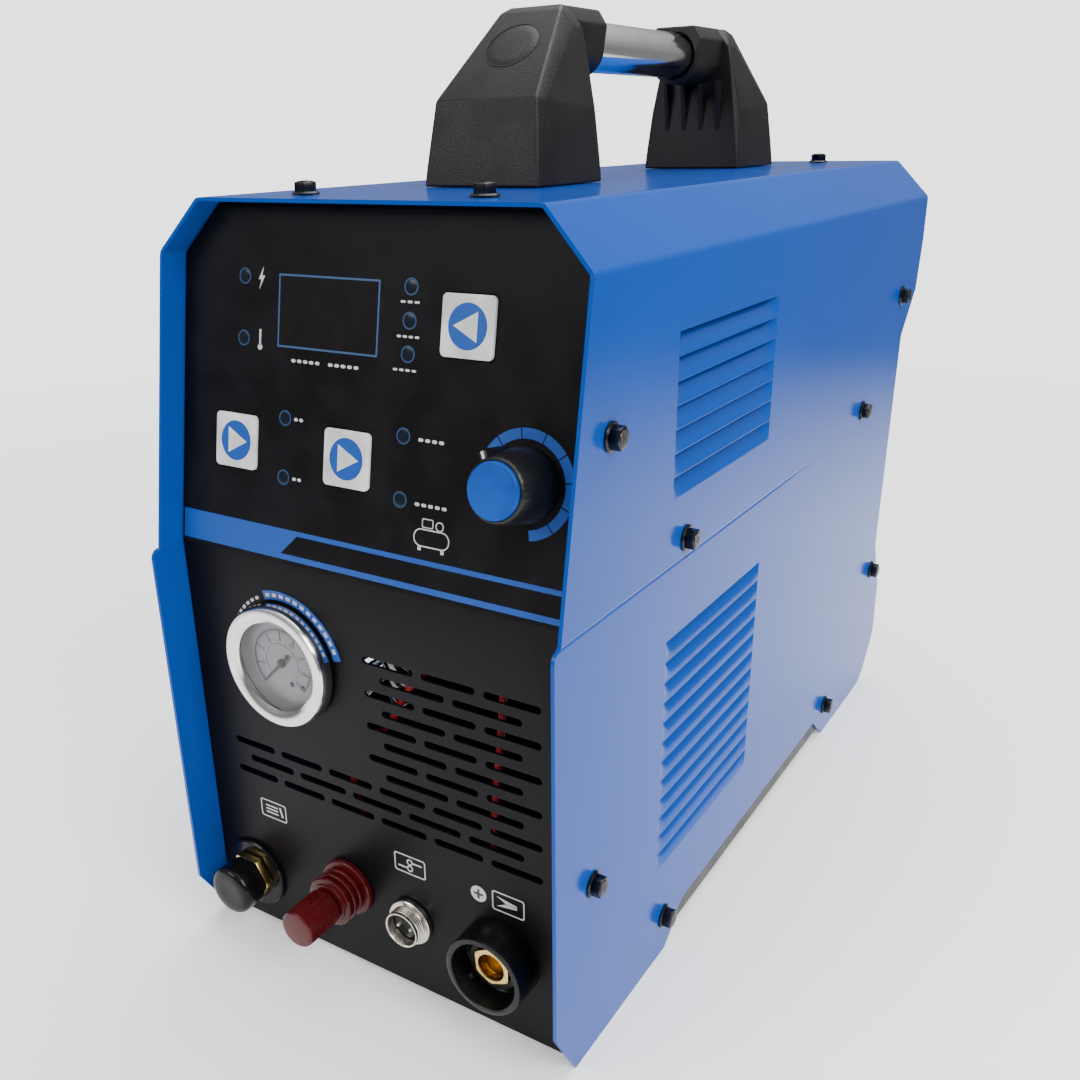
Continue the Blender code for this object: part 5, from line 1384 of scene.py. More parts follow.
    def needle(self) -> Shape:
        """The needle pointing up the face: hub, slender blade and broad tail."""
        hub = [(0.0, 0.0006), (0.0006, 0.0006), (0.0006, 0.0026), (0.0020, 0.0026), (0.0020, 0.0036),
               (0.0014, 0.0040),
               (0.0, 0.0041)]
        shape = Shape.turned(hub, 36)
        blade = [(-0.0008, 0.0), (0.0008, 0.0), (0.00018, 0.0158), (-0.00018, 0.0158)]
        tail = [(-0.0006, 0.0), (-0.0012, -0.0058), (0.0012, -0.0058), (0.0006, 0.0)]
        shape.add(Shape.slab(blade, 0.0027, 0.0031), Shape.slab(tail, 0.0027, 0.0031))
        return shape


# ---------------------------------------------------------------- connectors


@dataclass
class Connectors:
    """Torch outlet, pilot post, control socket and work socket along the bottom of the front."""

    drop: float = math.hypot(1.0, SIZES.lower_lean)
    torch: Point = (-0.076, 0.0285)
    pilot: Point = (-0.0175, 0.0435)
    control: Point = (0.018, 0.0395)
    work: Point = (0.064, 0.0405)
    marks_level: float = -0.1288
    plus: Point = (0.0536, -0.1290)

    def at(self, x: float, height: float) -> Matrix:
        """Placement on the connector face at a height above the floor."""
        return on(SIZES.lower(), x, -(SIZES.fold - height) * self.drop)

    def threads(self, radius: float, start: float, end: float, pitch: float, depth: float) -> list[Point]:
        """The outer profile of a run of thread ridges."""
        count = int((end - start) / pitch)
        points = []
        for index in range(count):
            base = start + index * pitch
            points += [(radius - depth, base), (radius, base + pitch * 0.3), (radius, base + pitch * 0.55)]
            points += [(radius - depth, base + pitch * 0.85)]
        return points

    def build_torch(self) -> None:
        """Builds the torch outlet with its rubber flange and cap."""
        place = self.at(*self.torch)
        flange = [(0.0098, 0.0003), (0.0175, 0.0003), (0.0175, 0.0018), (0.0168, 0.0026), (0.0158, 0.0027),
                  (0.0098, 0.0027)]
        Shape.turned(flange, 96, ring=True).lay(place).piece(
            "torch_rubber_flange", Finish.RUBBER, CASING, "black_rubber", ["torch_flange"])
        nut = hex_nut(0.0110, 0.0030, 0.0072, 0.0079)
        stem = [(0.0030, -0.020), (0.0095, -0.020), (0.0095, 0.0030), (0.0080, 0.0032), (0.0080, 0.0072)]
        stem += self.threads(0.0080, 0.0076, 0.0168, 0.0010, 0.0004) + [(0.0072, 0.0172), (0.0068, 0.0180),
                                                                        (0.0030, 0.0180)]
        nut.add(Shape.turned(stem, 72, ring=True))
        brass = TurnedMetal("torch_brass", (0.76, 0.54, 0.19), tuple(place.translation), 0.18).material()
        nut.lay(place).piece("torch_brass_fitting", brass, CASING, "brass", ["torch_fitting"])
        cap = [(0.0083, 0.0078), (0.0112, 0.0078), (0.0117, 0.0082), (0.0119, 0.0092), (0.0116, 0.0102),
               (0.0119, 0.0112)]
        cap += [(0.0120, 0.0160), (0.0119, 0.0178), (0.0114, 0.0190), (0.0104, 0.0198), (0.0085, 0.0202),
                (0.0050, 0.0200)]
        cap += [(0.0, 0.0198), (0.0, 0.0182), (0.0083, 0.0182)]
        shape = Shape.turned(cap, 120)
        knurled(shape, 30, 0.00012, 0.0104, 0.0165, 0.0110)
        shape.lay(place).piece("torch_dust_cap", Finish.RUBBER, "torch_cap", "black_rubber", ["torch_cap"])

    def build_pilot(self) -> None:
        """Builds the ribbed red post and its knurled knob."""
        place = self.at(*self.pilot)
        post = [(0.0, -0.018), (0.0065, -0.018), (0.0065, 0.0003), (0.0134, 0.0003), (0.0137, 0.0007),
                (0.0137, 0.0026)]
        post += [(0.0132, 0.0032), (0.0098, 0.0038)]
        for rib in range(3):
            low = 0.0044 + rib * 0.0038
            post += [(0.0096, low), (0.0114, low + 0.0003), (0.0118, low + 0.0008), (0.0118, low + 0.0018)]
            post += [(0.0114, low + 0.0023), (0.0096, low + 0.0026)]
        post += [(0.0094, 0.0156), (0.0088, 0.0158), (0.0060, 0.0160), (0.0031, 0.0160), (0.0030, 0.0320),
                 (0.0, 0.0320)]
        shape = Shape.turned(post, 120)
        knurled(shape, 40, 0.00022, 0.0040, 0.0150, 0.0112)
        shape.lay(place).piece("red_post", Finish.RED, CASING, "red_plastic", ["pilot_post"])
        knob = [(0.0033, 0.0170), (0.0078, 0.0170), (0.0084, 0.0174), (0.0086, 0.0180)]
        knob += [(0.0086, 0.0182 + 0.0164 * index / 12) for index in range(13)]
        knob += [(0.0084, 0.0354), (0.0079, 0.0359), (0.0074, 0.0360), (0.0, 0.0360), (0.0, 0.0323), (0.0033, 0.0323)]
        turned = Shape.turned(knob, 180)
        knurled(turned, 45, 0.00042, 0.0176, 0.0352, 0.0080)
        turned.lay(place).piece("red_thumb_knob", Finish.RED, "pilot_knob", "red_plastic", ["pilot_knob"])
        collar = [(0.0031, 0.0160), (0.0050, 0.0160), (0.0050, 0.0168), (0.0031, 0.0168)]
        nickel = TurnedMetal("stud_collar_brass", (0.55, 0.42, 0.30), tuple(place.translation), 0.22).material()
        Shape.turned(collar, 48, ring=True).lay(place).piece("stud_collar", nickel, CASING, "brass")

    def build_control(self) -> None:
        """Builds the two-pin control socket."""
        place = self.at(*self.control)
        shell = [(0.0066, -0.014), (0.0078, -0.014), (0.0078, 0.0003), (0.0104, 0.0003), (0.0108, 0.0007),
                 (0.0108, 0.0027)]
        shell += [(0.0104, 0.0031), (0.0088, 0.0031)] + self.threads(0.0087, 0.0034, 0.0080, 0.0010, 0.00045)
        shell += [(0.0084, 0.0082), (0.0083, 0.0087), (0.0077, 0.0087), (0.0075, 0.0083), (0.0075, 0.0003),
                  (0.0066, 0.0003)]
        nickel = TurnedMetal("nickel_socket", (0.66, 0.63, 0.56), tuple(place.translation), 0.20).material()
        Shape.turned(shell, 96, ring=True).lay(place).piece(
            "nickel_socket_shell", nickel, CASING, "nickel_plate", ["control_socket_shell"])
        core = [(0.0, -0.011), (0.0063, -0.011), (0.0063, 0.0006), (0.0072, 0.0006), (0.0072, 0.0036),
                (0.0068, 0.0039), (0.0, 0.0039)]
        insert = Shape.turned(core, 64)
        insert.lay(place).piece("socket_core", Finish.BLACK, CASING, "black_plastic", ["control_socket_insert"])
        pins = Shape()
        for sign in (-1, 1):
            pin = [(0.0, 0.0035), (0.0008, 0.0035), (0.0008, 0.0062), (0.0005, 0.0068), (0.0, 0.0070)]
            pins.add(Shape.turned(pin, 24).lay(Matrix.Translation((sign * 0.0033, 0.0, 0.0))))
        pins.lay(place).piece("socket_pins", Finish.ALUMINIUM, CASING, "nickel_plate")

    def build_work(self) -> None:
        """Builds the work socket: deep shell with key ribs, and the brass insert."""
        place = self.at(*self.work)
        shell = [(0.0081, -0.012), (0.0125, -0.012), (0.0125, 0.0003), (0.0180, 0.0003), (0.0180, 0.0140),
                 (0.0177, 0.0148)]
        shell += [(0.0171, 0.0151), (0.0158, 0.0151), (0.0153, 0.0147), (0.0152, 0.0140), (0.0152, 0.0034),
                  (0.0148, 0.0030)]
        shell += [(0.0120, 0.0030), (0.0118, 0.0034), (0.0118, 0.0064), (0.0114, 0.0068), (0.0092, 0.0068),
                  (0.0089, 0.0064)]
        shell += [(0.0089, 0.0030), (0.0081, 0.0028)]
        whole = Shape.turned(shell, 128, ring=True)
        for turn in (40, 220):
            rib = Shape.block((0.0116, -0.0012, 0.0030), (0.0153, 0.0012, 0.0095)).bevel(0.0003, 2)
            whole.add(rib.lay(about_z(turn)))
        whole.lay(place).piece("work_socket_cup", Finish.BLACK, CASING, "black_plastic", ["work_socket_shell"])
        nut = hex_nut(0.0083, 0.0033, 0.0083, 0.0064, 30)
        bore = [(0.00625, 0.0079), (0.0064, 0.0083), (0.0070, 0.0083), (0.0070, 0.0033), (0.0078, 0.0033),
                (0.0078, -0.012)]
        bore += [(0.0050, -0.012), (0.0050, -0.034), (0.0, -0.034), (0.0, -0.010), (0.0058, -0.010),
                 (0.00625, -0.009)]
        nut.add(Shape.turned(bore, 64))
        brass = TurnedMetal("work_brass", (0.80, 0.58, 0.21), tuple(place.translation), 0.17).material()
        nut.lay(place).piece("work_brass_insert", brass, CASING, "brass", ["work_socket_insert"])

    def build_marks(self) -> None:
        """Prints the frames with simple pictograms above the connectors."""
        frame = SIZES.lower()
        up = self.marks_level
        marks: list[Any] = []
        for x, width in ((-0.0607, 0.0157), (0.0183, 0.0165), (0.0680, 0.0155)):
            marks.append((frame_outline(width, 0.0095, 0.0012, (x, up)),
                          frame_outline(width - 0.0011, 0.0084, 0.0009, (x, up))))
        for level in (-0.0018, 0.0, 0.0018):
            marks.append(oblong(-0.0655, -0.0580, up + level, 0.0007))
        marks.append([(-0.0572, up + 0.0026), (-0.0560, up + 0.0026), (-0.0549, up - 0.0022), (-0.0558, up - 0.0024)])
        marks.append((disc((0.0183, up + 0.0015), 0.0016, 20), disc((0.0183, up + 0.0015), 0.0010, 20)))
        marks.append((disc((0.0183, up - 0.0017), 0.0016, 20), disc((0.0183, up - 0.0017), 0.0010, 20)))
        marks.append(oblong(0.0120, 0.0168, up - 0.0017, 0.0007))
        marks.append(oblong(0.0198, 0.0246, up + 0.0015, 0.0007))
        marks.append([(0.0625, up + 0.0024), (0.0722, up + 0.0009), (0.0722, up + 0.0002), (0.0668, up + 0.0002)])
        marks.append([(0.0668, up - 0.0002), (0.0722, up - 0.0002), (0.0722, up - 0.0009), (0.0625, up - 0.0024)])
        plus_bar = frame_outline(0.0046, 0.0011, 0.0002, self.plus)
        face = ControlFace()
        face.printed("connector_prints", Finish.INK_WHITE, marks, frame, 0.0001)
        face.printed("plus_disc_print", Finish.INK_WHITE, [disc(self.plus, 0.0038, 40)], frame, 0.0001)
        cross = [plus_bar, frame_outline(0.0011, 0.0046, 0.0002, self.plus)]
        face.printed("plus_sign_print", Finish.INK_DARK, cross[:1], frame, 0.00018)
        face.printed("plus_bar_print", Finish.INK_DARK, cross[1:], frame, 0.00019)

    def build(self) -> None:
        """Builds all four connectors and their marks."""
        self.build_torch()
        self.build_pilot()
        self.build_control()
        self.build_work()
        self.build_marks()


# ---------------------------------------------------------------- handle


@dataclass
class CarryHandle:
    """Two moulded supports, the tube between them and a plug in each slope."""

    span: float = 0.274
    length: float = 0.056
    tube_height: float = 0.0573

    def support(self) -> Shape:
        """One support, standing on Z = 0 with its outer foot edge at Y = 0."""
        corners = []
        for sign in (-1, 1):
            corners += [(sign * 0.0282, 0.0, 0.0), (sign * 0.0282, self.length, 0.0)]
            corners += [(sign * 0.0245, 0.0050, 0.0340), (sign * 0.0262, 0.0100, 0.0330)]
            corners += [(sign * 0.0262, self.length - 0.004, 0.0300)]
            corners += [(sign * 0.0150, 0.0415, 0.0690), (sign * 0.0130, 0.0460, 0.0712)]
            corners += [(sign * 0.0188, 0.0450, 0.0620), (sign * 0.0188, self.length - 0.002, 0.0620)]
            corners += [(sign * 0.0100, self.length - 0.002, 0.0713)]
        return Shape.hull(corners).bevel(0.0009, 3, 9)

    def collar(self) -> Shape:
        """The overhanging collar: chamfered on top and round below."""
        low = arc((0.0, self.tube_height), 0.0142, 200, 340, 24)
        outline = [(0.0108, 0.0714), (-0.0108, 0.0714), (-0.0150, 0.0650)] + low + [(0.0150, 0.0650)]
        shape = Shape.slab(outline, 0.0, 0.034, [disc((0.0, self.tube_height), 0.0113, 48)])
        shape.bevel(0.0009, 3, 40)
        stand = Matrix.Translation((0.0, 0.084, 0.0)) @ Matrix.Rotation(math.pi / 2, 4, "X")
        return shape.lay(stand)

    def ribs(self) -> Shape:
        """Upright ribs on the inner face under the collar."""
        whole = Shape()
        for x in (-0.0150, -0.0050, 0.0050, 0.0150):
            corners = [(x + side * 0.0012, y, z) for side in (-1, 1)
                       for y, z in ((0.050, 0.018), (0.0550, 0.018), (0.0575, 0.030), (0.0610, 0.0450),
                                    (0.050, 0.0450))]
            whole.add(Shape.hull(corners).bevel(0.0004, 2))
        return whole

    def plug(self) -> Shape:
        """The round plug, lying flat at the origin, with its fine edge groove."""
        profile = [(0.0, -0.0018), (0.0119, -0.0018), (0.0119, -0.0001), (0.0116, 0.0001), (0.0080, 0.0003),
                   (0.0, 0.0004)]
        return Shape.turned(profile, 72)

    def build(self) -> None:
        """Builds the handle."""
        s = SIZES
        middle = s.front_y() + s.length / 2
        foot = s.height + s.fit
        slope = math.atan2(0.0350, 0.0365)
        for end, sign, turn in (("front", -1, 0.0), ("rear", 1, math.pi)):
            stand = Matrix.Translation((0.0, middle + sign * self.span / 2, foot)) @ Matrix.Rotation(turn, 4, "Z")
            support = self.support().add(self.collar(), self.ribs()).lay(stand)
            support.piece(f"{end}_grip_support", Finish.HANDLE, CASING, "black_plastic", [f"handle_{end}_support"],
                          math.radians(13))
            tilt = Matrix.Translation((0.0, 0.0270, 0.0551)) @ Matrix.Rotation(slope, 4, "X")
            self.plug().lay(stand @ tilt).piece(
                f"{end}_grip_plug", Finish.HANDLE, CASING, "black_plastic", [f"handle_{end}_plug"])
            groove = Shape.turned([(0.0119, 0.0), (0.0124, 0.0), (0.0124, 0.00022), (0.0119, 0.00022)], 72, ring=True)
            groove.lay(stand @ tilt).piece(f"{end}_plug_groove", Finish.KNOB, CASING, "black_plastic")
        reach = self.span / 2 - 0.0520
        tube = [(0.0110, -reach), (0.0110, reach), (0.0095, reach), (0.0095, -reach)]
        lie = Matrix.Translation((0.0, middle, foot + self.tube_height)) @ Matrix.Rotation(math.pi / 2, 4, "X")
        Shape.turned(tube, 96, ring=True).bevel(0.0002, 2, 50).lay(lie).piece(
            "polished_grip_tube", Finish.TUBE, CASING, "polished_aluminium", ["handle_tube"])


# ---------------------------------------------------------------- screws


@dataclass
class Screws:
    """Hexagon flange screws, each with a cross recess."""

    flats: float = 0.0040
    flange: float = 0.0056
    top_across: float = 0.042
    top_front: float = 0.023
    rear_setback: float = 0.041
    deck_height: float = 0.2055
    pan_height: float = 0.020

    def head(self) -> Shape:
        """One screw with its axis along Z and its seat at Z = 0.0003."""
        flange = [(0.0, 0.0003), (self.flange, 0.0003), (self.flange, 0.0008), (0.0049, 0.0014), (0.0, 0.0015)]
        whole = Shape.turned(flange, 40)
        hexagon = Shape.slab(hex_outline(self.flats), 0.0012, 0.0050).bevel(0.0004, 2, 40)
        dome = [(0.0, 0.0048), (0.0034, 0.0048), (0.0030, 0.0053), (0.0, 0.0054)]
        shank = [(0.0, -0.0080), (0.0016, -0.0078), (0.0024, -0.0060), (0.0024, 0.0006), (0.0, 0.0006)]
        whole.add(hexagon, Shape.turned(dome, 32), Shape.turned(shank, 24))
        for turn in (0.0, math.pi / 2):
            slot = Shape.block((-0.0018, -0.0003, 0.0050), (0.0018, 0.0003, 0.00545))
            whole.add(slot.lay(Matrix.Rotation(turn, 4, "Z")))
        return whole

    def build(self) -> None:
        """Builds the screws of the top and of both sides."""
        s = SIZES
        front = s.front_y()
        rear = s.length - self.rear_setback
        for end, along in (("front", self.top_front), ("rear", rear)):
            for side, sign in (("left", -1), ("right", 1)):
                place = Matrix.Translation((sign * self.top_across, front + along, s.height))
                name = f"top_screw_{end}_{side}"
                self.head().lay(place).piece(f"{name}_fine", Finish.SCREW, CASING, "black_oxide_steel", [name])
        upper, lower = s.height - 0.077, 0.084
        corners = {"front_upper": (0.0105, upper), "front_lower": (0.0045, lower),
                   "rear_upper": (rear, upper), "rear_lower": (rear, lower)}
        middles = {"deck_front": (0.081, self.deck_height), "deck_rear": (s.length - 0.105, self.deck_height),
                   "pan_front": (0.077, self.pan_height), "pan_rear": (s.length - 0.123, self.pan_height)}
        for side, sign in (("left", -1), ("right", 1)):
            for label, (along, height) in {**corners, **middles}.items():
                turn = Matrix.Rotation(sign * math.pi / 2, 4, "Y") @ Matrix.Rotation(0.3 + along * 40, 4, "Z")
                place = Matrix.Translation((sign * s.width / 2, front + along, height)) @ turn
                name = f"{side}_screw_{label}"
                stands = [name] if label in corners else []
                self.head().lay(place).piece(f"{name}_fine", Finish.SCREW, CASING, "black_oxide_steel", stands)


# ---------------------------------------------------------------- back


@dataclass
class RearSide:
    """The rear panel with its grille, the fan, the switch, the gland and the air inlet."""

    fan_z: float = 0.261
    bore: float = 0.057
    fan_side: float = 0.120
    fan_depth: float = 0.025
    grille_slot: float = 0.005
    grille_pitch: float = 0.0105
    switch: Point = (-0.052, 0.112)
    gland: Point = (-0.052, 0.050)
    inlet: Point = (0.050, 0.060)

    def panel(self) -> None:
        """Builds the rear panel."""
        s = SIZES
        half = s.inner_half()
        top = s.height - s.sheet - s.fit
        shoulder = s.height - s.chamfer_height - 0.0008
        corner = s.top_half() - 0.0008
        wide = half + 0.022
        low = 0.005
        outline = [(-wide, low), (wide, low), (wide, shoulder), (half, shoulder), (corner, top), (-corner, top)]
        outline += [(-half, shoulder), (-wide, shoulder)]
        holes = []
        for row in range(-5, 6):
            level = self.fan_z + row * self.grille_pitch
            middle = self.grille_slot / 2
            reach = math.sqrt(self.bore**2 - (row * self.grille_pitch) ** 2) - middle
            holes += [oblong(start, end, level, self.grille_slot) for start,
                      end in ((-reach, -middle), (middle, reach))]
        holes += [disc(self.gland, 0.0101), disc(self.inlet, 0.0068),
                  frame_outline(0.0186, 0.0246, 0.001, self.switch)]
        sheet = Shape.sheet(outline, holes).cut([-half, half], 0)

        sheet.bend(lambda flat: fold_returns(s.rear(), flat)).tidy()
        piece = sheet.piece("black_rear_panel", Finish.PANEL, slot="black_powder_coat", stands_for=["rear_panel"])
        thicken(piece, s.sheet, 0.00025)

    def fan(self) -> None:
        """Builds the fan's frame and its impeller with twisted blades."""
        s = SIZES
        frame = s.rear() @ Matrix.Translation((0.0, self.fan_z, -s.sheet - s.fit - self.fan_depth))
        outline = frame_outline(self.fan_side, self.fan_side, 0.004)
        body = Shape.slab(outline, 0.0, self.fan_depth, [disc((0, 0), self.bore, 72)]).bevel(0.0006, 2, 40)
        body.add(Shape.turned([(0.0028, 0.021), (0.0210, 0.021), (0.0210, 0.0245), (0.0200, 0.025), (0.0028, 0.025)],
                              48, ring=True))
        for index in range(4):
            strut = Shape.block((0.019, -0.002, 0.021), (0.058, 0.002, 0.025)).bevel(0.0004, 2)
            body.add(strut.lay(about_z(45 + 90 * index)))
        body.lay(frame).piece("fan_housing", Finish.BLACK, CASING, "black_plastic", ["fan_frame"])
        hub = [(0.0, 0.002), (0.0190, 0.002), (0.0210, 0.0035), (0.0210, 0.020), (0.0025, 0.020), (0.0025, 0.024),
               (0.0, 0.024)]
        rotor = Shape.turned(hub, 64)
        for index in range(7):
            rotor.add(self.blade().lay(Matrix.Rotation(math.tau * index / 7, 4, "Z")))
        rotor.lay(frame).piece("fan_rotor", Finish.KNOB, "fan_impeller", "black_plastic", ["fan_impeller"])

    def blade(self) -> Shape:
        """One twisted fan blade that points along X."""
        shape = Shape()
        bmesh.ops.create_grid(shape.mesh, x_segments=10, y_segments=8, size=0.5)
        reach = self.bore - 0.0028 - 0.020

        def twist(point: Vector) -> Vector:
            """Places one point of the blade."""
            out = point.x + 0.5
            pitch = math.radians(48 - 22 * out)
            chord = (0.016 + 0.008 * out) * point.y
            camber = 0.0018 * (1 - 4 * point.y**2)
            rise = chord * math.sin(pitch) + camber
            rise = max(-0.0075, min(0.0075, rise))
            return Vector((0.020 + reach * out, chord * math.cos(pitch) + 0.004 * out, 0.0115 + rise))

        shape.bend(twist)
        bmesh.ops.solidify(shape.mesh, geom=shape.mesh.faces[:], thickness=0.0012)
        return shape.clean()

    def fittings(self) -> None:
        """Builds the switch, the gland and the inlet."""
        rear = SIZES.rear()
        place = on(rear, *self.switch)
        rim = Shape.slab(frame_outline(0.024, 0.030, 0.0015), 0.0003, 0.0023, [frame_outline(0.0156, 0.0216, 0.0006)])
        box = Shape.slab(frame_outline(0.018, 0.024, 0.0006), -0.026, 0.0010, [frame_outline(0.0157, 0.0217, 0.0005)])
        rim.bevel(0.0005, 2, 40).add(box, Shape.block((-0.0085, -0.0115, -0.0255), (0.0085, 0.0115, -0.0110)))
        rim.lay(place).piece("switch_body", Finish.BLACK, CASING, "black_plastic", ["power_switch_body"])
        outline = [(-0.0028, -0.0045), (-0.0096, 0.0012), (-0.0096, 0.0052), (0.0, 0.0028), (0.0096, 0.0052),
                   (0.0096, 0.0012), (0.0028, -0.0045)]
        rocker = Shape.slab(outline, -0.0075, 0.0075).bevel(0.0004, 2, 20)
        lie = Matrix.Rotation(math.radians(12.0), 4, "X") @ Matrix.Rotation(-math.pi / 2, 4, "Y")
        tip = rear.translation + Vector((-self.switch[0], 0.0, self.switch[1]))
        rocker.lay(Matrix.Translation(tip) @ lie)
        rocker.piece("switch_rocker", Finish.KNOB, "power_switch_rocker", "black_plastic", ["power_switch_rocker"])
        gland = [(0.0045, -0.012), (0.0098, -0.012), (0.0098, 0.0050), (0.0098, 0.0080), (0.0112, 0.0084),
                 (0.0116, 0.0095)]
        gland += [(0.0116, 0.0140), (0.0104, 0.0168), (0.0078, 0.0195), (0.0062, 0.0200), (0.0045, 0.0200)]
        whole = Shape.turned(gland, 72, ring=True)
        whole.add(hex_nut(0.0120, 0.0003, 0.0050, 0.0097))
        whole.lay(on(rear, *self.gland))
        whole.piece("cord_entry_gland", Finish.BLACK, CASING, "black_plastic", ["cord_gland"])
        inlet = [(0.0035, -0.016), (0.0065, -0.016), (0.0065, 0.0060), (0.0065, 0.0160), (0.0050, 0.0170),
                 (0.0050, 0.0210)]
        inlet += [(0.0065, 0.0220), (0.0065, 0.0235), (0.0055, 0.0260), (0.0035, 0.0260)]
        plug = Shape.turned(inlet, 64, ring=True).bevel(0.0003, 2, 25)
        plug.add(hex_nut(0.0090, 0.0003, 0.0060, 0.0064))
        plug.lay(on(rear, *self.inlet))
        plug.piece("air_line_inlet", Finish.BRASS, CASING, "brass", ["air_inlet"])

    def build(self) -> None:
        """Builds the whole back."""
        self.panel()
        self.fan()
        self.fittings()


# ---------------------------------------------------------------- inside


@dataclass
class Inside:
    """Finishes for the pieces that are kept as they are, and the wiring behind the vents."""

    wire: float = 0.0016

    def finishes(self) -> dict[str, Finish]:
        """The finish of each node that keeps its own mesh."""
        return {
            # base_pan takes the darkened pan finish, painted shade for the shadow under the arch.
            "base_pan": Finish.PAN, "deck_plate": Finish.ZINC, "display_module": Finish.BLACK,
            "control_board": Finish.BOARD, "potentiometer_body": Finish.ALUMINIUM,
            "potentiometer_shaft": Finish.ALUMINIUM, "compressor_motor": Finish.STEEL_BLACK,
            "compressor_pump": Finish.CAST, "compressor_rotor": Finish.GREY, "air_regulator": Finish.GREY,
            "solenoid_valve": Finish.BRASS, "heat_sink": Finish.ALUMINIUM, "power_board": Finish.BOARD,
            "transformer": Finish.COPPER,
        }

    def run(self, *corners: tuple[float, float, float]) -> list[Vector]:
        """A smooth run through corner points given behind the connector face."""
        frame = SIZES.lower()
        points = [frame @ Vector(corner) for corner in corners]
        smooth = []
        for index in range(len(points) - 1):
            before = points[max(index - 1, 0)]
            start, end = points[index], points[index + 1]
            after = points[min(index + 2, len(points) - 1)]
            for step in range(8):
                t = step / 8
                smooth.append(0.5 * (2 * start + (end - before) * t + (2 * before - 5 * start + 4 * end - after) * t * t
                                     + (3 * start - before - 3 * end + after) * t**3))
        return smooth + [points[-1]]

    def build(self) -> None:
        """Dresses the kept nodes and lays the wires."""
        for name, finish in self.finishes().items():
            node = bpy.data.objects[name]
            node.data.materials.clear()
            node.data.materials.append(finish.get())
        runs = {
            "red_wire_front": ((0.0590, -0.0290, -0.016), (0.0585, -0.0600, -0.012), (0.0570, -0.0850, -0.010),
                               (0.0540, -0.1150, -0.012), (0.0545, -0.1400, -0.017)),
            "red_wire_cross": ((0.0300, -0.0300, -0.012), (0.0150, -0.0500, -0.009), (0.0040, -0.0680, -0.010),
                               (-0.0160, -0.0900, -0.010), (-0.0200, -0.1060, -0.012), (-0.0180, -0.1330, -0.018)),
        }
        for name, corners in runs.items():
            Shape.pipe(self.run(*corners), self.wire, 14).piece(name, Finish.WIRE, CASING, "red_plastic")
        # The hose's light bands paint the glints behind the upper-left vents.
        hose = self.run((-0.0060, -0.0240, -0.018), (0.0060, -0.0360, -0.012), (0.0100, -0.0470, -0.012),
                        (0.0030, -0.0600, -0.020))
        Shape.pipe(hose, 0.0048, 24).piece("air_hose_painted_glints", Finish.SLEEVE, CASING, "grey_plastic")


# ---------------------------------------------------------------- studio


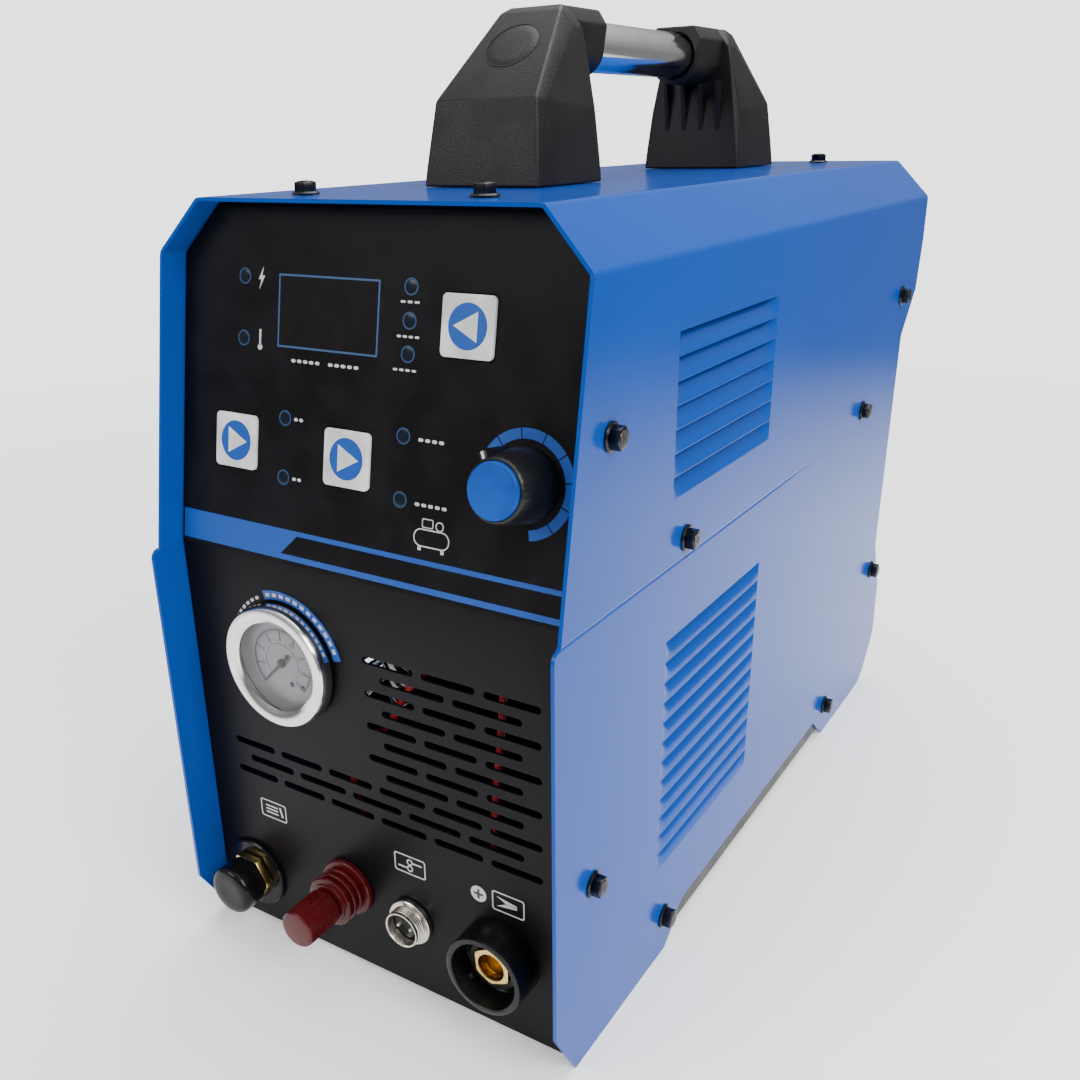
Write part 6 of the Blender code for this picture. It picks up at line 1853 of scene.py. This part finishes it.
@dataclass
class Studio:
    """Plain floor, soft lights and the camera."""

    lens: float = 37.27
    shift: Point = (0.0684, 0.0128)
    roll: float = -1.30
    stand: tuple[float, float, float] = (0.2679, -0.3254, 0.0210)
    look: tuple[float, float, float] = (-0.5273, 0.7737, -0.3512)

    def floor(self) -> None:
        """Lays a pale floor under the unit."""
        shape = Shape()
        bmesh.ops.create_grid(shape.mesh, x_segments=2, y_segments=2, size=3.0)
        data = bpy.data.meshes.new("studio_floor")
        shape.mesh.to_mesh(data)
        shape.mesh.free()
        book = Book("pale_floor")
        book.tinted(book.noise(book.place(), 3.0), (0.93, 0.93, 0.935), (0.95, 0.95, 0.955))
        away = book.node("ShaderNodeVectorMath", {"operation": "LENGTH"}, {0: book.place()}, "Value")
        book.set(Alpha=book.ramp(away * 0.5, (0.28, 1.0), (0.75, 0.0)), Roughness=0.7, Specular_IOR_Level=0.1)
        book.set(Emission_Color=(1.0, 1.0, 1.0, 1.0), Emission_Strength=0.34)
        data.materials.append(book.material)
        floor = bpy.data.objects.new("studio_floor", data)
        bpy.context.scene.collection.objects.link(floor)
        floor.location.z = -0.0002

    def lights(self) -> None:
        """Hangs the soft lights round the unit."""
        world = bpy.data.worlds.new("studio_air")
        world.use_nodes = True
        air = Graph(world.node_tree)
        way = air.node("ShaderNodeTexCoord", output="Generated")
        height = air.node("ShaderNodeSeparateXYZ", None, {0: way}, "Z")
        seen = air.node("ShaderNodeLightPath", output="Is Camera Ray")
        soft = air.ramp(height, (0.0, 0.22), (0.25, 0.38), (0.75, 0.80))
        background = world.node_tree.nodes["Background"]
        air.feed(background.inputs["Strength"], seen * 2.6 + (1.0 - seen) * soft)
        air.feed(background.inputs["Color"], (0.98, 0.99, 1.0, 1.0))
        bpy.context.scene.world = world
        lamps = (
            ("right_softbox", (1.6, -0.7, 1.5), (0.0, 0.0, 0.2), 1.1, 40.0),
            ("top_softbox", (0.1, 0.6, 2.1), (0.0, 0.0, 0.2), 1.8, 62.0),
            ("front_fill", (-0.9, -1.8, 1.3), (0.0, 0.0, 0.15), 1.0, 18.0),
        )
        for name, where, target, size, power in lamps:
            light = bpy.data.lights.new(name, "AREA")
            light.size = size
            light.energy = power
            made = bpy.data.objects.new(name, light)
            made.location = where
            made.rotation_euler = (Vector(target) - Vector(where)).to_track_quat("-Z", "Y").to_euler()
            bpy.context.scene.collection.objects.link(made)

    def camera(self) -> None:
        """Places the camera."""
        where = Vector(self.stand) + Vector((0.0, SIZES.front_y(), SIZES.height))
        forward = Vector(self.look).normalized()
        right = forward.cross(Vector((0, 0, 1))).normalized()
        up = right.cross(forward)
        angle = math.radians(self.roll)
        turned_right = right * math.cos(angle) + up * math.sin(angle)
        turned_up = turned_right.cross(forward)
        basis = Matrix((turned_right, turned_up, -forward)).transposed().to_4x4()
        data = bpy.data.cameras.new("studio_camera")
        data.lens = self.lens
        data.sensor_width = 36.0
        data.shift_x, data.shift_y = self.shift
        data.clip_start = 0.01
        camera = bpy.data.objects.new("studio_camera", data)
        camera.matrix_world = Matrix.Translation(where) @ basis
        bpy.context.scene.collection.objects.link(camera)
        bpy.context.scene.camera = camera

    def build(self) -> None:
        """Builds the studio."""
        self.floor()
        self.lights()
        self.camera()


def main() -> None:
    """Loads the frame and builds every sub-assembly."""
    logging.basicConfig(level=logging.INFO, format="%(message)s")
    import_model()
    for part in (Cover(), Panel(), ControlFace(), AirGauge(), Connectors(), CarryHandle(), Screws(), RearSide(),
                 Inside(), Studio()):
        log.info("building %s", type(part).__name__)
        part.build()


if __name__ == "__main__":
    main()
